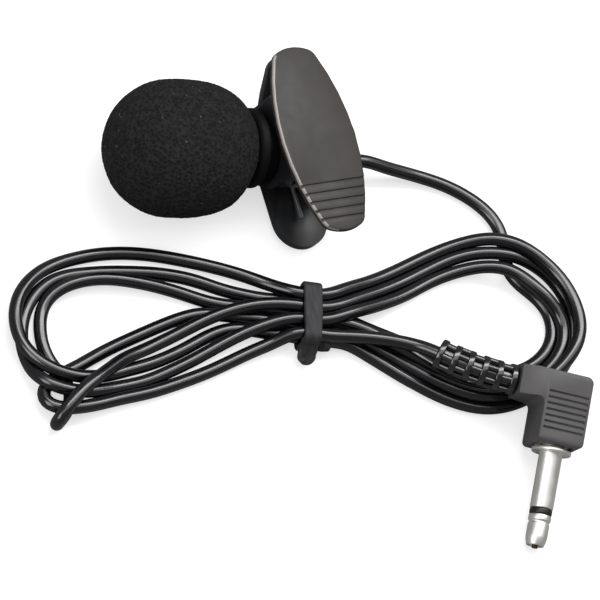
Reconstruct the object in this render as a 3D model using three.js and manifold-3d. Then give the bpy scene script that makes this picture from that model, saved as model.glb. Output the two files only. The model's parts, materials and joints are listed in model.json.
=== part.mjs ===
// Lavalier microphone with a foam windscreen, a sprung clothes clip, one thin cable folded into a
// tied hank, and a right-angle 3.5 mm two-pole plug. Lengths are millimetres and +Z is up. The part
// lies on the plane z = 0. The origin is the bottom centre of the microphone and its clip, without
// the cable and the plug. +X runs along the microphone, from the foam to the cable.

import * as THREE from "three";
import { mergeVertices } from "three/addons/utils/BufferGeometryUtils.js";
import Module from "manifold-3d";

const wasm = await Module();
wasm.setup();

// ---- Clearances ----
const FIT_GAP = 0.3; // between pieces that seat on or in each other
const RUN_GAP = 0.15; // radial, where the clip turns on the barrel
const CORE_GAP = 0.25; // between the small pieces inside the capsule and the plug
const OVERSHOOT = 0.5; // how far a cutter passes the face that it cuts

// ---- How the microphone lies ----
const MIC_PITCH = THREE.MathUtils.degToRad(9); // the cable end is the low one
const MIC_ROLL = THREE.MathUtils.degToRad(4.6); // the levers are the low side

// ---- Microphone housing, along its own x axis; x = 0 is the middle of the clip ----
const BARREL_RADIUS = 4.75;
const FLANGE_RADIUS = 6;
const FLANGE_THICKNESS = 2;
const FLANGE_ROUND = 0.5;
const NOSE_RADIUS = 4.7;
const NOSE_LENGTH = 13;
const NOSE_WALL = 0.55;
const NOSE_LIP = 0.5;
const NOSE_LIP_RADIUS = 3.4;
const REAR_BORE_RADIUS = 3.4;

// ---- Capsule and what holds it ----
const GRILLE_THICKNESS = 0.5;
const GRILLE_HOLE_RADIUS = 0.45;
const GRILLE_HOLE_RING_RADIUS = 2;
const GRILLE_HOLES = 6;
const FELT_RADIUS = 2.7;
const FELT_THICKNESS = 0.5;
const CAN_RADIUS = 3;
const CAN_WALL = 0.2;
const CAN_LENGTH = 5;
const CAN_PORT_RADIUS = 0.9;
const DIAPHRAGM_THICKNESS = 0.3;
const DIAPHRAGM_BORE_RADIUS = 2.1;
const BACK_PLATE_THICKNESS = 0.4;
const HOLDER_LENGTH = 1.7;
const HOLDER_BORE_RADIUS = 1.7;
const BOARD_THICKNESS = 0.5;
const CHIP_SIZE = new THREE.Vector3(0.6, 1.4, 0.9);
const BOOT_LIP = 0.5;
const BOOT_LIP_RADIUS = 2.4;
const JOINT_RADIUS = 0.6; // solder joints
const JOINT_HEIGHT = 0.5;
const JOINT_SPREAD = 1.2; // each joint's distance from the capsule's axis

// ---- Rear cap, and where the cable leaves it ----
const CAP_RADIUS = 5.2;
const CAP_THICKNESS = 0.9;
const CAP_ROUND = 0.4;
const SPIGOT_LENGTH = 2;
const EXIT_Y = -1.2;
const EXIT_Z = -0.9;
const BUSH_RADIUS = 2;
const BUSH_TIP_RADIUS = 1.5;
const BUSH_LENGTH = 1.5;
const CRIMP_LENGTH = 1.6;
const CRIMP_WALL = 0.25;

// ---- Cable ----
const CABLE_RADIUS = 1;
const CABLE_SIDES = 8;
const CABLE_STEP = 5; // length of one step along the tube
const CORE_RADIUS = 0.3; // one conductor

// ---- Foam windscreen ----
const FOAM_RADIUS = 10.15;
const FOAM_FRONT = 10.9; // from its widest place to its front
const FOAM_BACK = 11.2; // from its widest place to its open end
const FOAM_FRONT_POWER = 2.15; // 2 is an ellipse, more is fuller
const FOAM_BACK_POWER = 2.7;
const FOAM_BACK_REACH = 11.9; // where the back curve would meet the axis
const FOAM_RIM = 0.7; // width of the flat rim around the bore

// ---- Clip ----
const CLIP_RAKE = THREE.MathUtils.degToRad(9); // the clip's long axis leans this much on the barrel
const PAD_HALF_LENGTH = 14.65;
const PAD_HALF_WIDTH = 6.4;
const PAD_SIDE_RADIUS = 33;
const PAD_END_RADIUS = 6.3;
const PAD_CORNER_RADIUS = 2;
const PAD_THICKNESS = 1.2;
const PAD_ROUND = 0.35;
const PAD_SETBACK = 0.9; // the pad's middle lies this far from the hinge, towards the levers
const GRIP_GROOVES = 5;
const GRIP_PITCH = 1.38;
const GRIP_START = 7.1; // first groove, from the pad's middle
const GRIP_WIDTH = 0.5;
const GRIP_DEPTH = 0.3;
const EAR_RADIUS = 6;
const EAR_INSIDE = 4.3; // inner face of each ear, from the middle
const EAR_INSET = 0.8; // the ears stand this far inside the pad's edge
const RING_RADIUS = 5.7; // hinge rings of the rear half
const SPRING_ROOM = 3.8; // width of the gap between the rings
const PADDLE_HALF_WIDTH = 4.4;
const PADDLE_REACH = 14;
const PADDLE_THICKNESS = 1.3;
const PADDLE_LIFT = 0.1; // the paddle's end stands this much inside the ring's bottom
const JAW_REACH = 13.3;
const JAW_TIP_THICKNESS = 0.9;
const JAW_SLOPE = 0.52; // rise of the jaw arm along its length
const JAW_ARM_THICKNESS = 1.35;
const JAW_LAND = 2.3; // flat length of the jaw's bite
const TOOTH_HEIGHT = 0.35;
const TEETH = 3;
const JAW_INSET = 0.3; // the rear jaw's outline stands this far inside the pad's

// ---- Torsion spring ----
const WIRE_RADIUS = 0.35;
const SPRING_TURNS = 2;
const SPRING_COIL_GAP = 0.25; // from the barrel to the wire
const SPRING_LEG_X = 1; // each leg's distance from the middle
const SPRING_LEG_REACH = 9.8;
const WIRE_SIDES = 6;
const WIRE_STEPS_PER_TURN = 16;

// ---- Hank and tie; the waist is the tied middle of the hank ----
const LOOP_HEIGHT = 2; // one layer of cable
const CROSSED_HEIGHT = 4; // two layers
const WAIST_BOTTOM = 0.95;
const WAIST_TOP = 4.6;
const WAIST_WIDTH = 7.4;
const WAIST_LENGTH = 8;
const WAIST_PLACE = new THREE.Vector2(9.1, -24.2);
const WAIST_HEADING = THREE.MathUtils.degToRad(-11);
const TIE_WIDTH = 2.7;
const TIE_THICKNESS = 0.6;
const TIE_TAIL = 2.4;

// Outer edges of the hank's two loops, seen from above, round each loop from the waist.
const RIGHT_LOOP = [
  [11.9, -20.2], [19.5, -16.9], [26, -14.9], [33, -12.8], [39.6, -11.6], [45.2, -13], [49.9, -16.2],
  [53, -21], [54.4, -25.5], [53.9, -29], [51.9, -32], [49.4, -34.6], [45.6, -37.6], [41, -39.8],
  [37, -40.6], [32.8, -40.3], [28.5, -38.8], [24.7, -36.1], [21, -33.2], [17.2, -30.4], [12.3, -27.8],
];
const LEFT_LOOP = [
  [6.6, -19.9], [3.4, -16.1], [-3.6, -12.6], [-13, -10.7], [-23, -10.2], [-27.8, -11.8],
  [-32.5, -14.2], [-35.4, -17], [-36.8, -20], [-37, -22.8], [-36, -26.2], [-35.2, -29.4],
  [-36.2, -33.4], [-34.6, -38.4], [-32.2, -39.6], [-28, -37.4], [-22.2, -36.2], [-14.4, -35.2],
  [-6, -31.2], [2, -27.6], [5.8, -26.8],
];

// Middle of the cable's two loose ends. The first follows the microphone's own end; the second runs
// from the hank's waist to the strain relief.
const MIC_LEAD = [
  [24.6, -0.2, 3.75], [28.2, -0.7, 2.55], [31.2, -1.3, 1.7], [33.9, -2.4, 1.2], [36.5, -3.6, 1.02],
  [39, -5.3, 1.02], [41.3, -7.4, 1.02], [42.7, -9.3, 1.02], [43.2, -11.3, 1.02],
];
const PLUG_LEAD = [[13, -27.7, 3.5], [16.2, -28.6, 3.6], [19.1, -29.5, 3.9], [21.9, -30.5, 4.5]];

// ---- Plug, in its own frame: the cable comes in along +x and the shaft points along -y ----
const PLUG_PLACE = new THREE.Vector3(41.94, -48.98, 5); // middle of the shoulder's outer face
const PLUG_HEADING = THREE.MathUtils.degToRad(-17.5);
const PLUG_TILT = THREE.MathUtils.degToRad(15); // the tip is the low end
const SHAFT_RADIUS = 1.75;
const SLEEVE_LENGTH = 8.8;
const INSULATOR_LENGTH = 0.8;
const INSULATOR_RADIUS = 1.7;
const TIP_LENGTH = 4.5;
const TIP_WAIST_RADIUS = 1.35;
const TIP_BALL_RADIUS = 1.5;
const SHOULDER_RADIUS = 3;
const SHOULDER_THICKNESS = 0.6;
const STEM_RADIUS = 1.6;
const STEM_LENGTH = 3.3;
const SLEEVE_BORE_RADIUS = 1.25;
const ROD_TUBE_WALL = 0.3;
const ROD_RADIUS = 0.45;
const BODY_HALF_WIDTH = 3.6;
const BODY_TOP = 11.8;
const BODY_THICKNESS = 8.6;
const BODY_ROUND = 0.5;
const BODY_CORNER = 1;
const BODY_TOE = 0.7; // corners beside the shoulder
const ARM_REACH = 7.2; // the arm's end, from the shaft's axis
const ARM_HEIGHT = 4.4;
const ARM_END_THICKNESS = 5.2;
const ARM_TAPER_START = 4.6;
const PANEL_RIDGES = 6;
const PANEL_PITCH = 0.92;
const PANEL_START = 2.9;
const PANEL_GROOVE = 0.4;
const PANEL_DEPTH = 0.35;
const PANEL_MARGIN = 0.5;
const CORE_WALL = 0.45;
const CORE_LENGTH = 5;
const CAVITY_WALL = 1;
const LUG_LENGTH = 2.2;
const LUG_WIDTH = 1.2;
const LUG_THICKNESS = 0.4;

// ---- Strain relief ----
const RELIEF_LENGTH = 11.4;
const RELIEF_ROOT_RADIUS = 2.4;
const RELIEF_END_RADIUS = 2.3;
const RELIEF_CORE_RADIUS = 1.5;
const RELIEF_RIBS = 6;
const RELIEF_SLOT = 1.2;
const RELIEF_WEB = 0.7; // width of each web between two ribs
const RELIEF_WEBS = 6;
const RELIEF_BEND = THREE.MathUtils.degToRad(23); // total turn from root to end
const RELIEF_BEND_PLANE = THREE.MathUtils.degToRad(-47); // 0 bends it in the plug's own plane

// ---- Sizes that follow from the ones above ----
const clipHalf = (PAD_HALF_WIDTH - EAR_INSET) / Math.cos(CLIP_RAKE) + EAR_RADIUS * Math.tan(CLIP_RAKE);
const barrelFront = -(clipHalf + FIT_GAP);
const capFace = clipHalf + FIT_GAP;
const barrelBack = capFace - FIT_GAP;
const noseStart = barrelFront - FLANGE_THICKNESS;
const noseEnd = noseStart - NOSE_LENGTH;
const chamberRadius = NOSE_RADIUS - NOSE_WALL;
const clipBore = BARREL_RADIUS + RUN_GAP;
const padBottom = RING_RADIUS + FIT_GAP;
const padTop = padBottom + PAD_THICKNESS;
const exitX = capFace + CAP_THICKNESS + FIT_GAP + BUSH_LENGTH;
const jacketBore = CABLE_RADIUS + CORE_GAP;

// ---- Materials ----
const finish = (color, roughness, metalness = 0) =>
  new THREE.MeshStandardMaterial({ color, roughness, metalness });
const FOAM = finish(0x262628, 1);
const HOUSING = finish(0x1c1c1e, 0.35);
const PAD_PLASTIC = finish(0x585452, 0.6);
const CLIP_PLASTIC = finish(0x202226, 0.5);
const CABLE_PVC = finish(0x17171a, 0.4);
const TIE_RUBBER = finish(0x464646, 0.7);
const PLUG_PVC = finish(0x504e50, 0.65);
const RELIEF_PVC = finish(0x141416, 0.5);
const NICKEL = finish(0xd8d8d6, 0.2, 1);
const STEEL = finish(0xc8c8c8, 0.3, 1);
const ALUMINIUM = finish(0xb4b6b8, 0.4, 1);
const BRASS = finish(0xb8964c, 0.35, 1);
const COPPER = finish(0xb06c48, 0.4, 1);
const SOLDER = finish(0xa8a8aa, 0.45, 1);
const FELT = finish(0x2a2a2a, 1);
const RUBBER = finish(0x101010, 0.8);
const CREAM_PLASTIC = finish(0xe4dcc8, 0.5);
const BLACK_PLASTIC = finish(0x121212, 0.5);
const BOARD_GREEN = finish(0x2c5c3c, 0.6);

// ---- Geometry helpers ----

// A closed geometry as a manifold-3d solid.
function solid(geometry) {
  const bare = geometry.clone();
  bare.deleteAttribute("normal");
  bare.deleteAttribute("uv");
  const merged = mergeVertices(bare, 1e-4);
  const made = new wasm.Manifold(
    new wasm.Mesh({
      numProp: 3,
      vertProperties: merged.attributes.position.array,
      triVerts: new Uint32Array(merged.index.array),
    }),
  );
  if (made.volume() < 0) throw new Error("a solid is inside out");
  return made;
}

// A manifold-3d solid as a geometry with flat faces.
function geometryOf(made) {
  const mesh = made.getMesh();
  const geometry = new THREE.BufferGeometry();
  geometry.setAttribute("position", new THREE.BufferAttribute(mesh.vertProperties, 3));
  geometry.setIndex(new THREE.BufferAttribute(mesh.triVerts, 1));
  const flat = geometry.toNonIndexed();
  flat.computeVertexNormals();
  return flat;
}

function cut(body, ...tools) {
  return geometryOf(tools.reduce((left, tool) => left.subtract(solid(tool)), solid(body)));
}

function join(...pieces) {
  return geometryOf(pieces.slice(1).reduce((all, piece) => all.add(solid(piece)), solid(pieces[0])));
}

function common(a, b) {
  return geometryOf(solid(a).intersect(solid(b)));
}

// A shape turned about the x axis. Each point is [x, radius]; x grows along the outside.
function turned(profile, segments = 32) {
  const points = profile.map(([x, radius]) => new THREE.Vector2(radius, x));
  return new THREE.LatheGeometry(points, segments).rotateZ(-Math.PI / 2);
}

// A round bar or disc along x, from one x to another.
function bar(from, to, radius, segments = 32) {
  return turned([[from, 0], [from, radius], [to, radius], [to, 0]], segments);
}

// A ring or tube along x.
function pipe(from, to, outer, inner, segments = 32) {
  return turned([[from, inner], [from, outer], [to, outer], [to, inner], [from, inner]], segments);
}

function box(x0, x1, y0, y1, z0, z1) {
  const made = new THREE.BoxGeometry(x1 - x0, y1 - y0, z1 - z0);
  return made.translate((x0 + x1) / 2, (y0 + y1) / 2, (z0 + z1) / 2);
}

// Points along an arc, without its last one.
function arc(x, y, radius, from, to, steps) {
  return Array.from({ length: steps }, (_, i) => {
    const angle = from + ((to - from) * i) / steps;
    return [x + radius * Math.cos(angle), y + radius * Math.sin(angle)];
  });
}

function polygon(points) {
  return new THREE.Shape(points.map(([x, y]) => new THREE.Vector2(x, y)));
}

// A shape in the xy plane, given a thickness from one z to another, with rounded edges if asked.
function plate(shape, from, to, round = 0, curveSegments = 6) {
  return new THREE.ExtrudeGeometry(shape, {
    depth: to - from - 2 * round,
    bevelEnabled: round > 0,
    bevelThickness: round,
    bevelSize: round,
    bevelOffset: -round,
    bevelSegments: 2,
    curveSegments,
  }).translate(0, 0, from + round);
}

// A shape given in the yz plane, as [y, z] points or a Shape, drawn along x.
function alongX(shape, from, to, curveSegments = 12) {
  const made = new THREE.ExtrudeGeometry(shape, { depth: to - from, bevelEnabled: false, curveSegments });
  return made.rotateX(Math.PI / 2).rotateZ(Math.PI / 2).translate(from, 0, 0);
}

function circle(radius) {
  return new THREE.Shape().absarc(0, 0, radius, 0, 2 * Math.PI);
}

// A round tube along a curve.
function tube(curve, radius, sides, steps) {
  const section = new THREE.Shape();
  for (let i = 0; i < sides; i += 1) {
    const angle = (2 * Math.PI * i) / sides;
    const point = [radius * Math.cos(angle), radius * Math.sin(angle)];
    if (i === 0) section.moveTo(...point);
    else section.lineTo(...point);
  }
  return new THREE.ExtrudeGeometry(section, { steps, bevelEnabled: false, extrudePath: curve });
}

function mesh(name, geometry, material) {
  const made = new THREE.Mesh(geometry, material);
  made.name = name;
  return made;
}

function group(...children) {
  const made = new THREE.Group();
  made.add(...children);
  return made;
}

// ---- Microphone ----

function micHousing() {
  const chamberEnd = noseEnd + NOSE_LIP;
  const shoulder = capsuleStack().shoulder;
  return turned(
    [
      [noseEnd, NOSE_LIP_RADIUS],
      [noseEnd, NOSE_RADIUS - FLANGE_ROUND / 2],
      [noseEnd + FLANGE_ROUND / 2, NOSE_RADIUS],
      [noseStart, NOSE_RADIUS],
      [noseStart, FLANGE_RADIUS - FLANGE_ROUND],
      [noseStart + FLANGE_ROUND, FLANGE_RADIUS],
      [barrelFront - FLANGE_ROUND, FLANGE_RADIUS],
      [barrelFront, FLANGE_RADIUS - FLANGE_ROUND],
      [barrelFront, BARREL_RADIUS],
      [barrelBack, BARREL_RADIUS],
      [barrelBack, REAR_BORE_RADIUS],
      [shoulder, REAR_BORE_RADIUS],
      [shoulder, chamberRadius],
      [chamberEnd, chamberRadius],
      [chamberEnd, NOSE_LIP_RADIUS],
      [noseEnd, NOSE_LIP_RADIUS],
    ],
    40,
  );
}

// Where each piece of the capsule starts and ends along x, from the nose's lip backwards.
function capsuleStack() {
  const grille = noseEnd + NOSE_LIP + FIT_GAP;
  const felt = grille + GRILLE_THICKNESS + CORE_GAP;
  const can = felt + FELT_THICKNESS + CORE_GAP;
  const canEnd = can + CAN_LENGTH;
  const diaphragm = can + CAN_WALL + CORE_GAP;
  const backPlate = diaphragm + DIAPHRAGM_THICKNESS + CORE_GAP;
  const holder = backPlate + BACK_PLATE_THICKNESS + CORE_GAP;
  const board = holder + HOLDER_LENGTH + CORE_GAP;
  const boardEnd = board + BOARD_THICKNESS;
  const joint = boardEnd + CORE_GAP;
  const bootEnd = canEnd + CORE_GAP + BOOT_LIP;
  const shoulder = bootEnd + FIT_GAP;
  return { grille, felt, can, canEnd, diaphragm, backPlate, holder, board, joint, bootEnd, shoulder };
}

function frontGrille() {
  const { grille } = capsuleStack();
  const disc = bar(grille, grille + GRILLE_THICKNESS, chamberRadius - FIT_GAP, 24);
  const hole = bar(grille - OVERSHOOT, grille + GRILLE_THICKNESS + OVERSHOOT, GRILLE_HOLE_RADIUS, 8);
  const holes = [hole];
  for (let i = 0; i < GRILLE_HOLES; i += 1) {
    const angle = (2 * Math.PI * i) / GRILLE_HOLES;
    holes.push(hole.clone().translate(0, GRILLE_HOLE_RING_RADIUS, 0).rotateX(angle));
  }
  return cut(disc, ...holes);
}

function capsule() {
  const at = capsuleStack();
  const inside = CAN_RADIUS - CAN_WALL;
  const can = turned(
    [
      [at.can, CAN_PORT_RADIUS],
      [at.can, CAN_RADIUS],
      [at.canEnd, CAN_RADIUS],
      [at.canEnd, inside],
      [at.can + CAN_WALL, inside],
      [at.can + CAN_WALL, CAN_PORT_RADIUS],
      [at.can, CAN_PORT_RADIUS],
    ],
    28,
  );
  const fitted = inside - CORE_GAP;
  const boot = turned([
    [at.can, CAN_RADIUS + CORE_GAP],
    [at.can, chamberRadius - CORE_GAP],
    [at.bootEnd, chamberRadius - CORE_GAP],
    [at.bootEnd, BOOT_LIP_RADIUS],
    [at.bootEnd - BOOT_LIP, BOOT_LIP_RADIUS],
    [at.bootEnd - BOOT_LIP, CAN_RADIUS + CORE_GAP],
    [at.can, CAN_RADIUS + CORE_GAP],
  ]);
  const chipEnd = at.board - CORE_GAP;
  const chip = box(
    chipEnd - CHIP_SIZE.x, chipEnd, -CHIP_SIZE.y / 2, CHIP_SIZE.y / 2, -CHIP_SIZE.z / 2, CHIP_SIZE.z / 2,
  );
  const joint = turned(
    [
      [at.joint, 0],
      [at.joint, JOINT_RADIUS],
      [at.joint + JOINT_HEIGHT / 2, JOINT_RADIUS * 0.8],
      [at.joint + JOINT_HEIGHT, 0],
    ],
    12,
  );
  return [
    mesh("front_grille", frontGrille(), ALUMINIUM),
    mesh("capsule_felt", bar(at.felt, at.felt + FELT_THICKNESS, FELT_RADIUS, 24), FELT),
    mesh("capsule_can", can, ALUMINIUM),
    mesh("capsule_boot", boot, RUBBER),
    mesh(
      "diaphragm_ring",
      pipe(at.diaphragm, at.diaphragm + DIAPHRAGM_THICKNESS, fitted, DIAPHRAGM_BORE_RADIUS, 24),
      BRASS,
    ),
    mesh(
      "back_plate",
      bar(at.backPlate, at.backPlate + BACK_PLATE_THICKNESS, fitted - CORE_GAP, 24),
      BRASS,
    ),
    mesh(
      "plate_holder",
      pipe(at.holder, at.holder + HOLDER_LENGTH, fitted, HOLDER_BORE_RADIUS, 24),
      CREAM_PLASTIC,
    ),
    mesh("capsule_board", bar(at.board, at.board + BOARD_THICKNESS, fitted, 24), BOARD_GREEN),
    mesh("amplifier_chip", chip, BLACK_PLASTIC),
    mesh("signal_solder_joint", joint.clone().translate(0, JOINT_SPREAD, 0), SOLDER),
    mesh("screen_solder_joint", joint.clone().translate(0, -JOINT_SPREAD, 0), SOLDER),
  ];
}

function rearCap() {
  const back = capFace + CAP_THICKNESS;
  const spigot = REAR_BORE_RADIUS - FIT_GAP;
  const cap = turned(
    [
      [capFace - SPIGOT_LENGTH, 0],
      [capFace - SPIGOT_LENGTH, spigot],
      [capFace, spigot],
      [capFace, CAP_RADIUS],
      [back - CAP_ROUND, CAP_RADIUS],
      [back - CAP_ROUND * 0.3, CAP_RADIUS - CAP_ROUND * 0.3],
      [back, CAP_RADIUS - CAP_ROUND],
      [back, 0],
    ],
    40,
  );
  const hole = bar(capFace - SPIGOT_LENGTH - OVERSHOOT, back + OVERSHOOT, jacketBore, 16);
  return cut(cap, hole.translate(0, EXIT_Y, EXIT_Z));
}

// The cable's inner end: jacket, crimp sleeve and the two conductors to the capsule.
function micCableEnd() {
  const { joint } = capsuleStack();
  const spigotEnd = capFace - SPIGOT_LENGTH;
  const crimpEnd = spigotEnd - FIT_GAP;
  const jacketStart = crimpEnd - CRIMP_LENGTH - FIT_GAP;
  const bushStart = capFace + CAP_THICKNESS + FIT_GAP;
  const jacket = bar(jacketStart, exitX, CABLE_RADIUS, 16);
  const crimp = pipe(crimpEnd - CRIMP_LENGTH, crimpEnd, jacketBore + CRIMP_WALL, jacketBore, 20);
  const bush = turned(
    [
      [bushStart, jacketBore],
      [bushStart, BUSH_RADIUS],
      [bushStart + BUSH_LENGTH / 2, BUSH_RADIUS],
      [exitX, BUSH_TIP_RADIUS],
      [exitX, jacketBore],
      [bushStart, jacketBore],
    ],
    24,
  );
  const conductor = (side) => {
    const start = new THREE.Vector3(joint + JOINT_HEIGHT + CORE_GAP, side * JOINT_SPREAD, 0);
    const end = new THREE.Vector3(jacketStart - CORE_GAP, EXIT_Y + side * (CORE_RADIUS + CORE_GAP), EXIT_Z);
    const ease = new THREE.Vector3((end.x - start.x) / 3, 0, 0);
    const path = new THREE.CubicBezierCurve3(start, start.clone().add(ease), end.clone().sub(ease), end);
    return tube(path, CORE_RADIUS, CABLE_SIDES, 6);
  };
  const out = (geometry) => geometry.translate(0, EXIT_Y, EXIT_Z);
  return [
    mesh("cable_bush", out(bush), RUBBER),
    mesh("mic_end_jacket", out(jacket), CABLE_PVC),
    mesh("cable_crimp", out(crimp), STEEL),
    mesh("mic_signal_conductor", conductor(1), COPPER),
    mesh("mic_screen_conductor", conductor(-1), COPPER),
  ];
}

// ---- Foam ----

function foamWindscreen() {
  const boreRadius = NOSE_RADIUS + FIT_GAP;
  const open = noseStart - FIT_GAP;
  const widest = open - FOAM_BACK;
  const round = (power, reach, s) => FOAM_RADIUS * (1 - (s / reach) ** power) ** (1 / power);
  const profile = [[widest - FOAM_FRONT, 0]];
  for (const share of [0.985, 0.94, 0.86, 0.74, 0.6, 0.44, 0.26]) {
    profile.push([widest - share * FOAM_FRONT, round(FOAM_FRONT_POWER, FOAM_FRONT, share * FOAM_FRONT)]);
  }
  for (const share of [0, 0.26, 0.46, 0.62, 0.76, 0.86, 0.93]) {
    const s = share * FOAM_BACK;
    profile.push([widest + s, round(FOAM_BACK_POWER, FOAM_BACK_REACH, s)]);
  }
  profile.push([open, boreRadius + FOAM_RIM], [open, boreRadius]);
  profile.push([noseEnd - FIT_GAP, boreRadius], [noseEnd - FIT_GAP, 0]);
  return turned(profile, 32);
}

// ---- Clip ----

// An oval with arc sides, arc ends and rounded corners, made smaller all round by inset.
function padOutline(inset = 0) {
  const halfWidth = PAD_HALF_WIDTH - inset;
  const halfLength = PAD_HALF_LENGTH - inset;
  const side = PAD_SIDE_RADIUS - inset;
  const end = PAD_END_RADIUS - inset;
  const corner = PAD_CORNER_RADIUS - inset;
  const sideX = halfWidth - side;
  const endY = halfLength - end;
  // The corner's centre lies on two circles, about the side's centre and the end's centre.
  const apart = Math.hypot(sideX, endY);
  const along = ((side - corner) ** 2 - (end - corner) ** 2 + apart ** 2) / (2 * apart);
  const across = Math.sqrt((side - corner) ** 2 - along ** 2);
  const unit = new THREE.Vector2(-sideX, endY).divideScalar(apart);
  const centre = new THREE.Vector2(
    sideX + unit.x * along - unit.y * across,
    unit.y * along + unit.x * across,
  );
  const sideAngle = Math.atan2(centre.y, centre.x - sideX);
  const endAngle = Math.atan2(centre.y - endY, centre.x);
  // A quarter of the outline, from the middle of a side to the middle of an end.
  const quarter = [
    ...arc(sideX, 0, side, 0, sideAngle, 4),
    ...arc(centre.x, centre.y, corner, sideAngle, endAngle, 3),
    ...arc(0, endY, end, endAngle, Math.PI / 2, 4),
  ];
  const back = quarter.slice(1).reverse();
  const top = [...quarter, [0, halfLength], ...back.map(([x, y]) => [-x, y])];
  const bottom = top.map(([x, y]) => [-x, -y]);
  return polygon([...top, ...bottom]);
}

// Turns a geometry from the clip's raked frame into the barrel's.
function raked(geometry) {
  return geometry.translate(0, -PAD_SETBACK, 0).rotateZ(CLIP_RAKE);
}

function clipFront() {
  const earSide = PAD_HALF_WIDTH - EAR_INSET;
  const pad = plate(padOutline(), padBottom, padTop, PAD_ROUND, 5);
  const grooves = [];
  for (let i = 0; i < GRIP_GROOVES; i += 1) {
    const y = -(GRIP_START + i * GRIP_PITCH);
    const half = GRIP_WIDTH / 2;
    grooves.push(
      box(-PAD_HALF_WIDTH, PAD_HALF_WIDTH, y - half, y + half, padTop - GRIP_DEPTH, padTop + OVERSHOOT),
    );
  }
  const padPlate = raked(cut(pad, ...grooves));
  // Both ears as one cheek block with a round bottom, opened in the middle.
  const cheek = new THREE.Shape();
  cheek.moveTo(EAR_RADIUS, padBottom + PAD_ROUND);
  cheek.lineTo(-EAR_RADIUS, padBottom + PAD_ROUND);
  cheek.absarc(0, 0, EAR_RADIUS, Math.PI, 2 * Math.PI);
  const cheeks = alongX(cheek, -clipHalf, clipHalf);
  const reach = 2 * EAR_RADIUS;
  const span = raked(box(-earSide, earSide, -reach, reach, -reach, reach));
  const middle = box(-EAR_INSIDE, EAR_INSIDE, -reach, reach, -reach, padBottom);
  const bore = bar(-2 * clipHalf, 2 * clipHalf, clipBore, 40);
  return join(padPlate, cut(common(cheeks, span), middle, bore));
}

// The rear half's plan: a round-ended tongue on the lever side and the pad's oval on the jaw side.
function rearPlan() {
  const deep = 3 * RING_RADIUS;
  const tongueEnd = PADDLE_REACH - PADDLE_HALF_WIDTH - PAD_SETBACK;
  const tongue = new THREE.Shape();
  tongue.moveTo(PADDLE_HALF_WIDTH, PAD_SETBACK);
  tongue.lineTo(-PADDLE_HALF_WIDTH, PAD_SETBACK);
  tongue.lineTo(-PADDLE_HALF_WIDTH, -tongueEnd);
  tongue.absarc(0, -tongueEnd, PADDLE_HALF_WIDTH, Math.PI, 2 * Math.PI);
  const jaw = common(
    plate(padOutline(JAW_INSET), -deep, deep),
    box(-2 * PAD_HALF_WIDTH, 2 * PAD_HALF_WIDTH, PAD_SETBACK, 2 * PAD_HALF_LENGTH, -2 * deep, 2 * deep),
  );
  return raked(join(plate(tongue, -deep, deep, 0, 12), jaw));
}

function springLegEnds() {
  const coil = BARREL_RADIUS + SPRING_COIL_GAP + WIRE_RADIUS;
  const front = new THREE.Vector2(-SPRING_LEG_REACH, coil);
  const paddleTop = -(RING_RADIUS - PADDLE_LIFT) + PADDLE_THICKNESS;
  const rear = new THREE.Vector2(-SPRING_LEG_REACH, paddleTop + WIRE_RADIUS + CORE_GAP);
  // The rear leg leaves the coil along its tangent.
  const leave = rear.angle() - 2 * Math.PI + Math.acos(coil / rear.length());
  return { coil, front, rear, leave };
}

function clipRear() {
  const tipTop = padBottom - FIT_GAP - TOOTH_HEIGHT;
  const tipBottom = tipTop - JAW_TIP_THICKNESS;
  const landStart = JAW_REACH - JAW_LAND;
  const armBottom = (y) => tipBottom - JAW_SLOPE * (JAW_REACH - 1 - y);
  const armTop = (y) => armBottom(y) + JAW_ARM_THICKNESS * Math.hypot(1, JAW_SLOPE);
  const wide = 2 * PAD_HALF_WIDTH;
  const arm = alongX(
    polygon([
      [JAW_REACH, tipTop],
      [landStart, tipTop],
      [landStart - 1, Math.min(armTop(landStart - 1), tipTop)],
      [0, armTop(0)],
      [0, armBottom(0)],
      [JAW_REACH - 1, tipBottom],
      [JAW_REACH, tipBottom + JAW_TIP_THICKNESS / 2],
    ]),
    -wide,
    wide,
  );
  const ringBottom = -RING_RADIUS;
  const paddleEnd = -PADDLE_REACH - OVERSHOOT;
  const paddle = alongX(
    polygon([
      [0, ringBottom],
      [0, ringBottom + PADDLE_THICKNESS],
      [paddleEnd, ringBottom + PADDLE_LIFT + PADDLE_THICKNESS],
      [paddleEnd, ringBottom + PADDLE_LIFT],
    ]),
    -wide,
    wide,
  );
  const teeth = [];
  const pitch = JAW_LAND / TEETH;
  for (let i = 0; i < TEETH; i += 1) {
    const y = landStart + i * pitch;
    teeth.push(
      alongX(
        polygon([
          [y, tipTop - OVERSHOOT],
          [y + pitch * 0.9, tipTop - OVERSHOOT],
          [y + pitch * 0.9, tipTop],
          [y + pitch * 0.45, tipTop + TOOTH_HEIGHT],
          [y, tipTop],
        ]),
        -wide,
        wide,
      ),
    );
  }
  const plates = common(join(arm, paddle, ...teeth), rearPlan());
  const ringEdge = EAR_INSIDE - FIT_GAP;
  const ring = alongX(circle(RING_RADIUS), -ringEdge, ringEdge, 20);
  const springRadius = springLegEnds().coil + WIRE_RADIUS + FIT_GAP;
  const springRoom = bar(-SPRING_ROOM / 2, SPRING_ROOM / 2, springRadius, 40);
  const earRoom = (side) => {
    const near = side * ringEdge;
    const far = side * wide;
    const low = Math.min(near, far);
    const high = Math.max(near, far);
    const radius = EAR_RADIUS + FIT_GAP;
    return join(bar(low, high, radius, 40), box(low, high, -radius, radius, 0, 2 * radius));
  };
  const bore = bar(-wide, wide, clipBore, 40);
  return cut(join(plates, ring), bore, springRoom, earRoom(-1), earRoom(1), springGroove());
}

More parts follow.
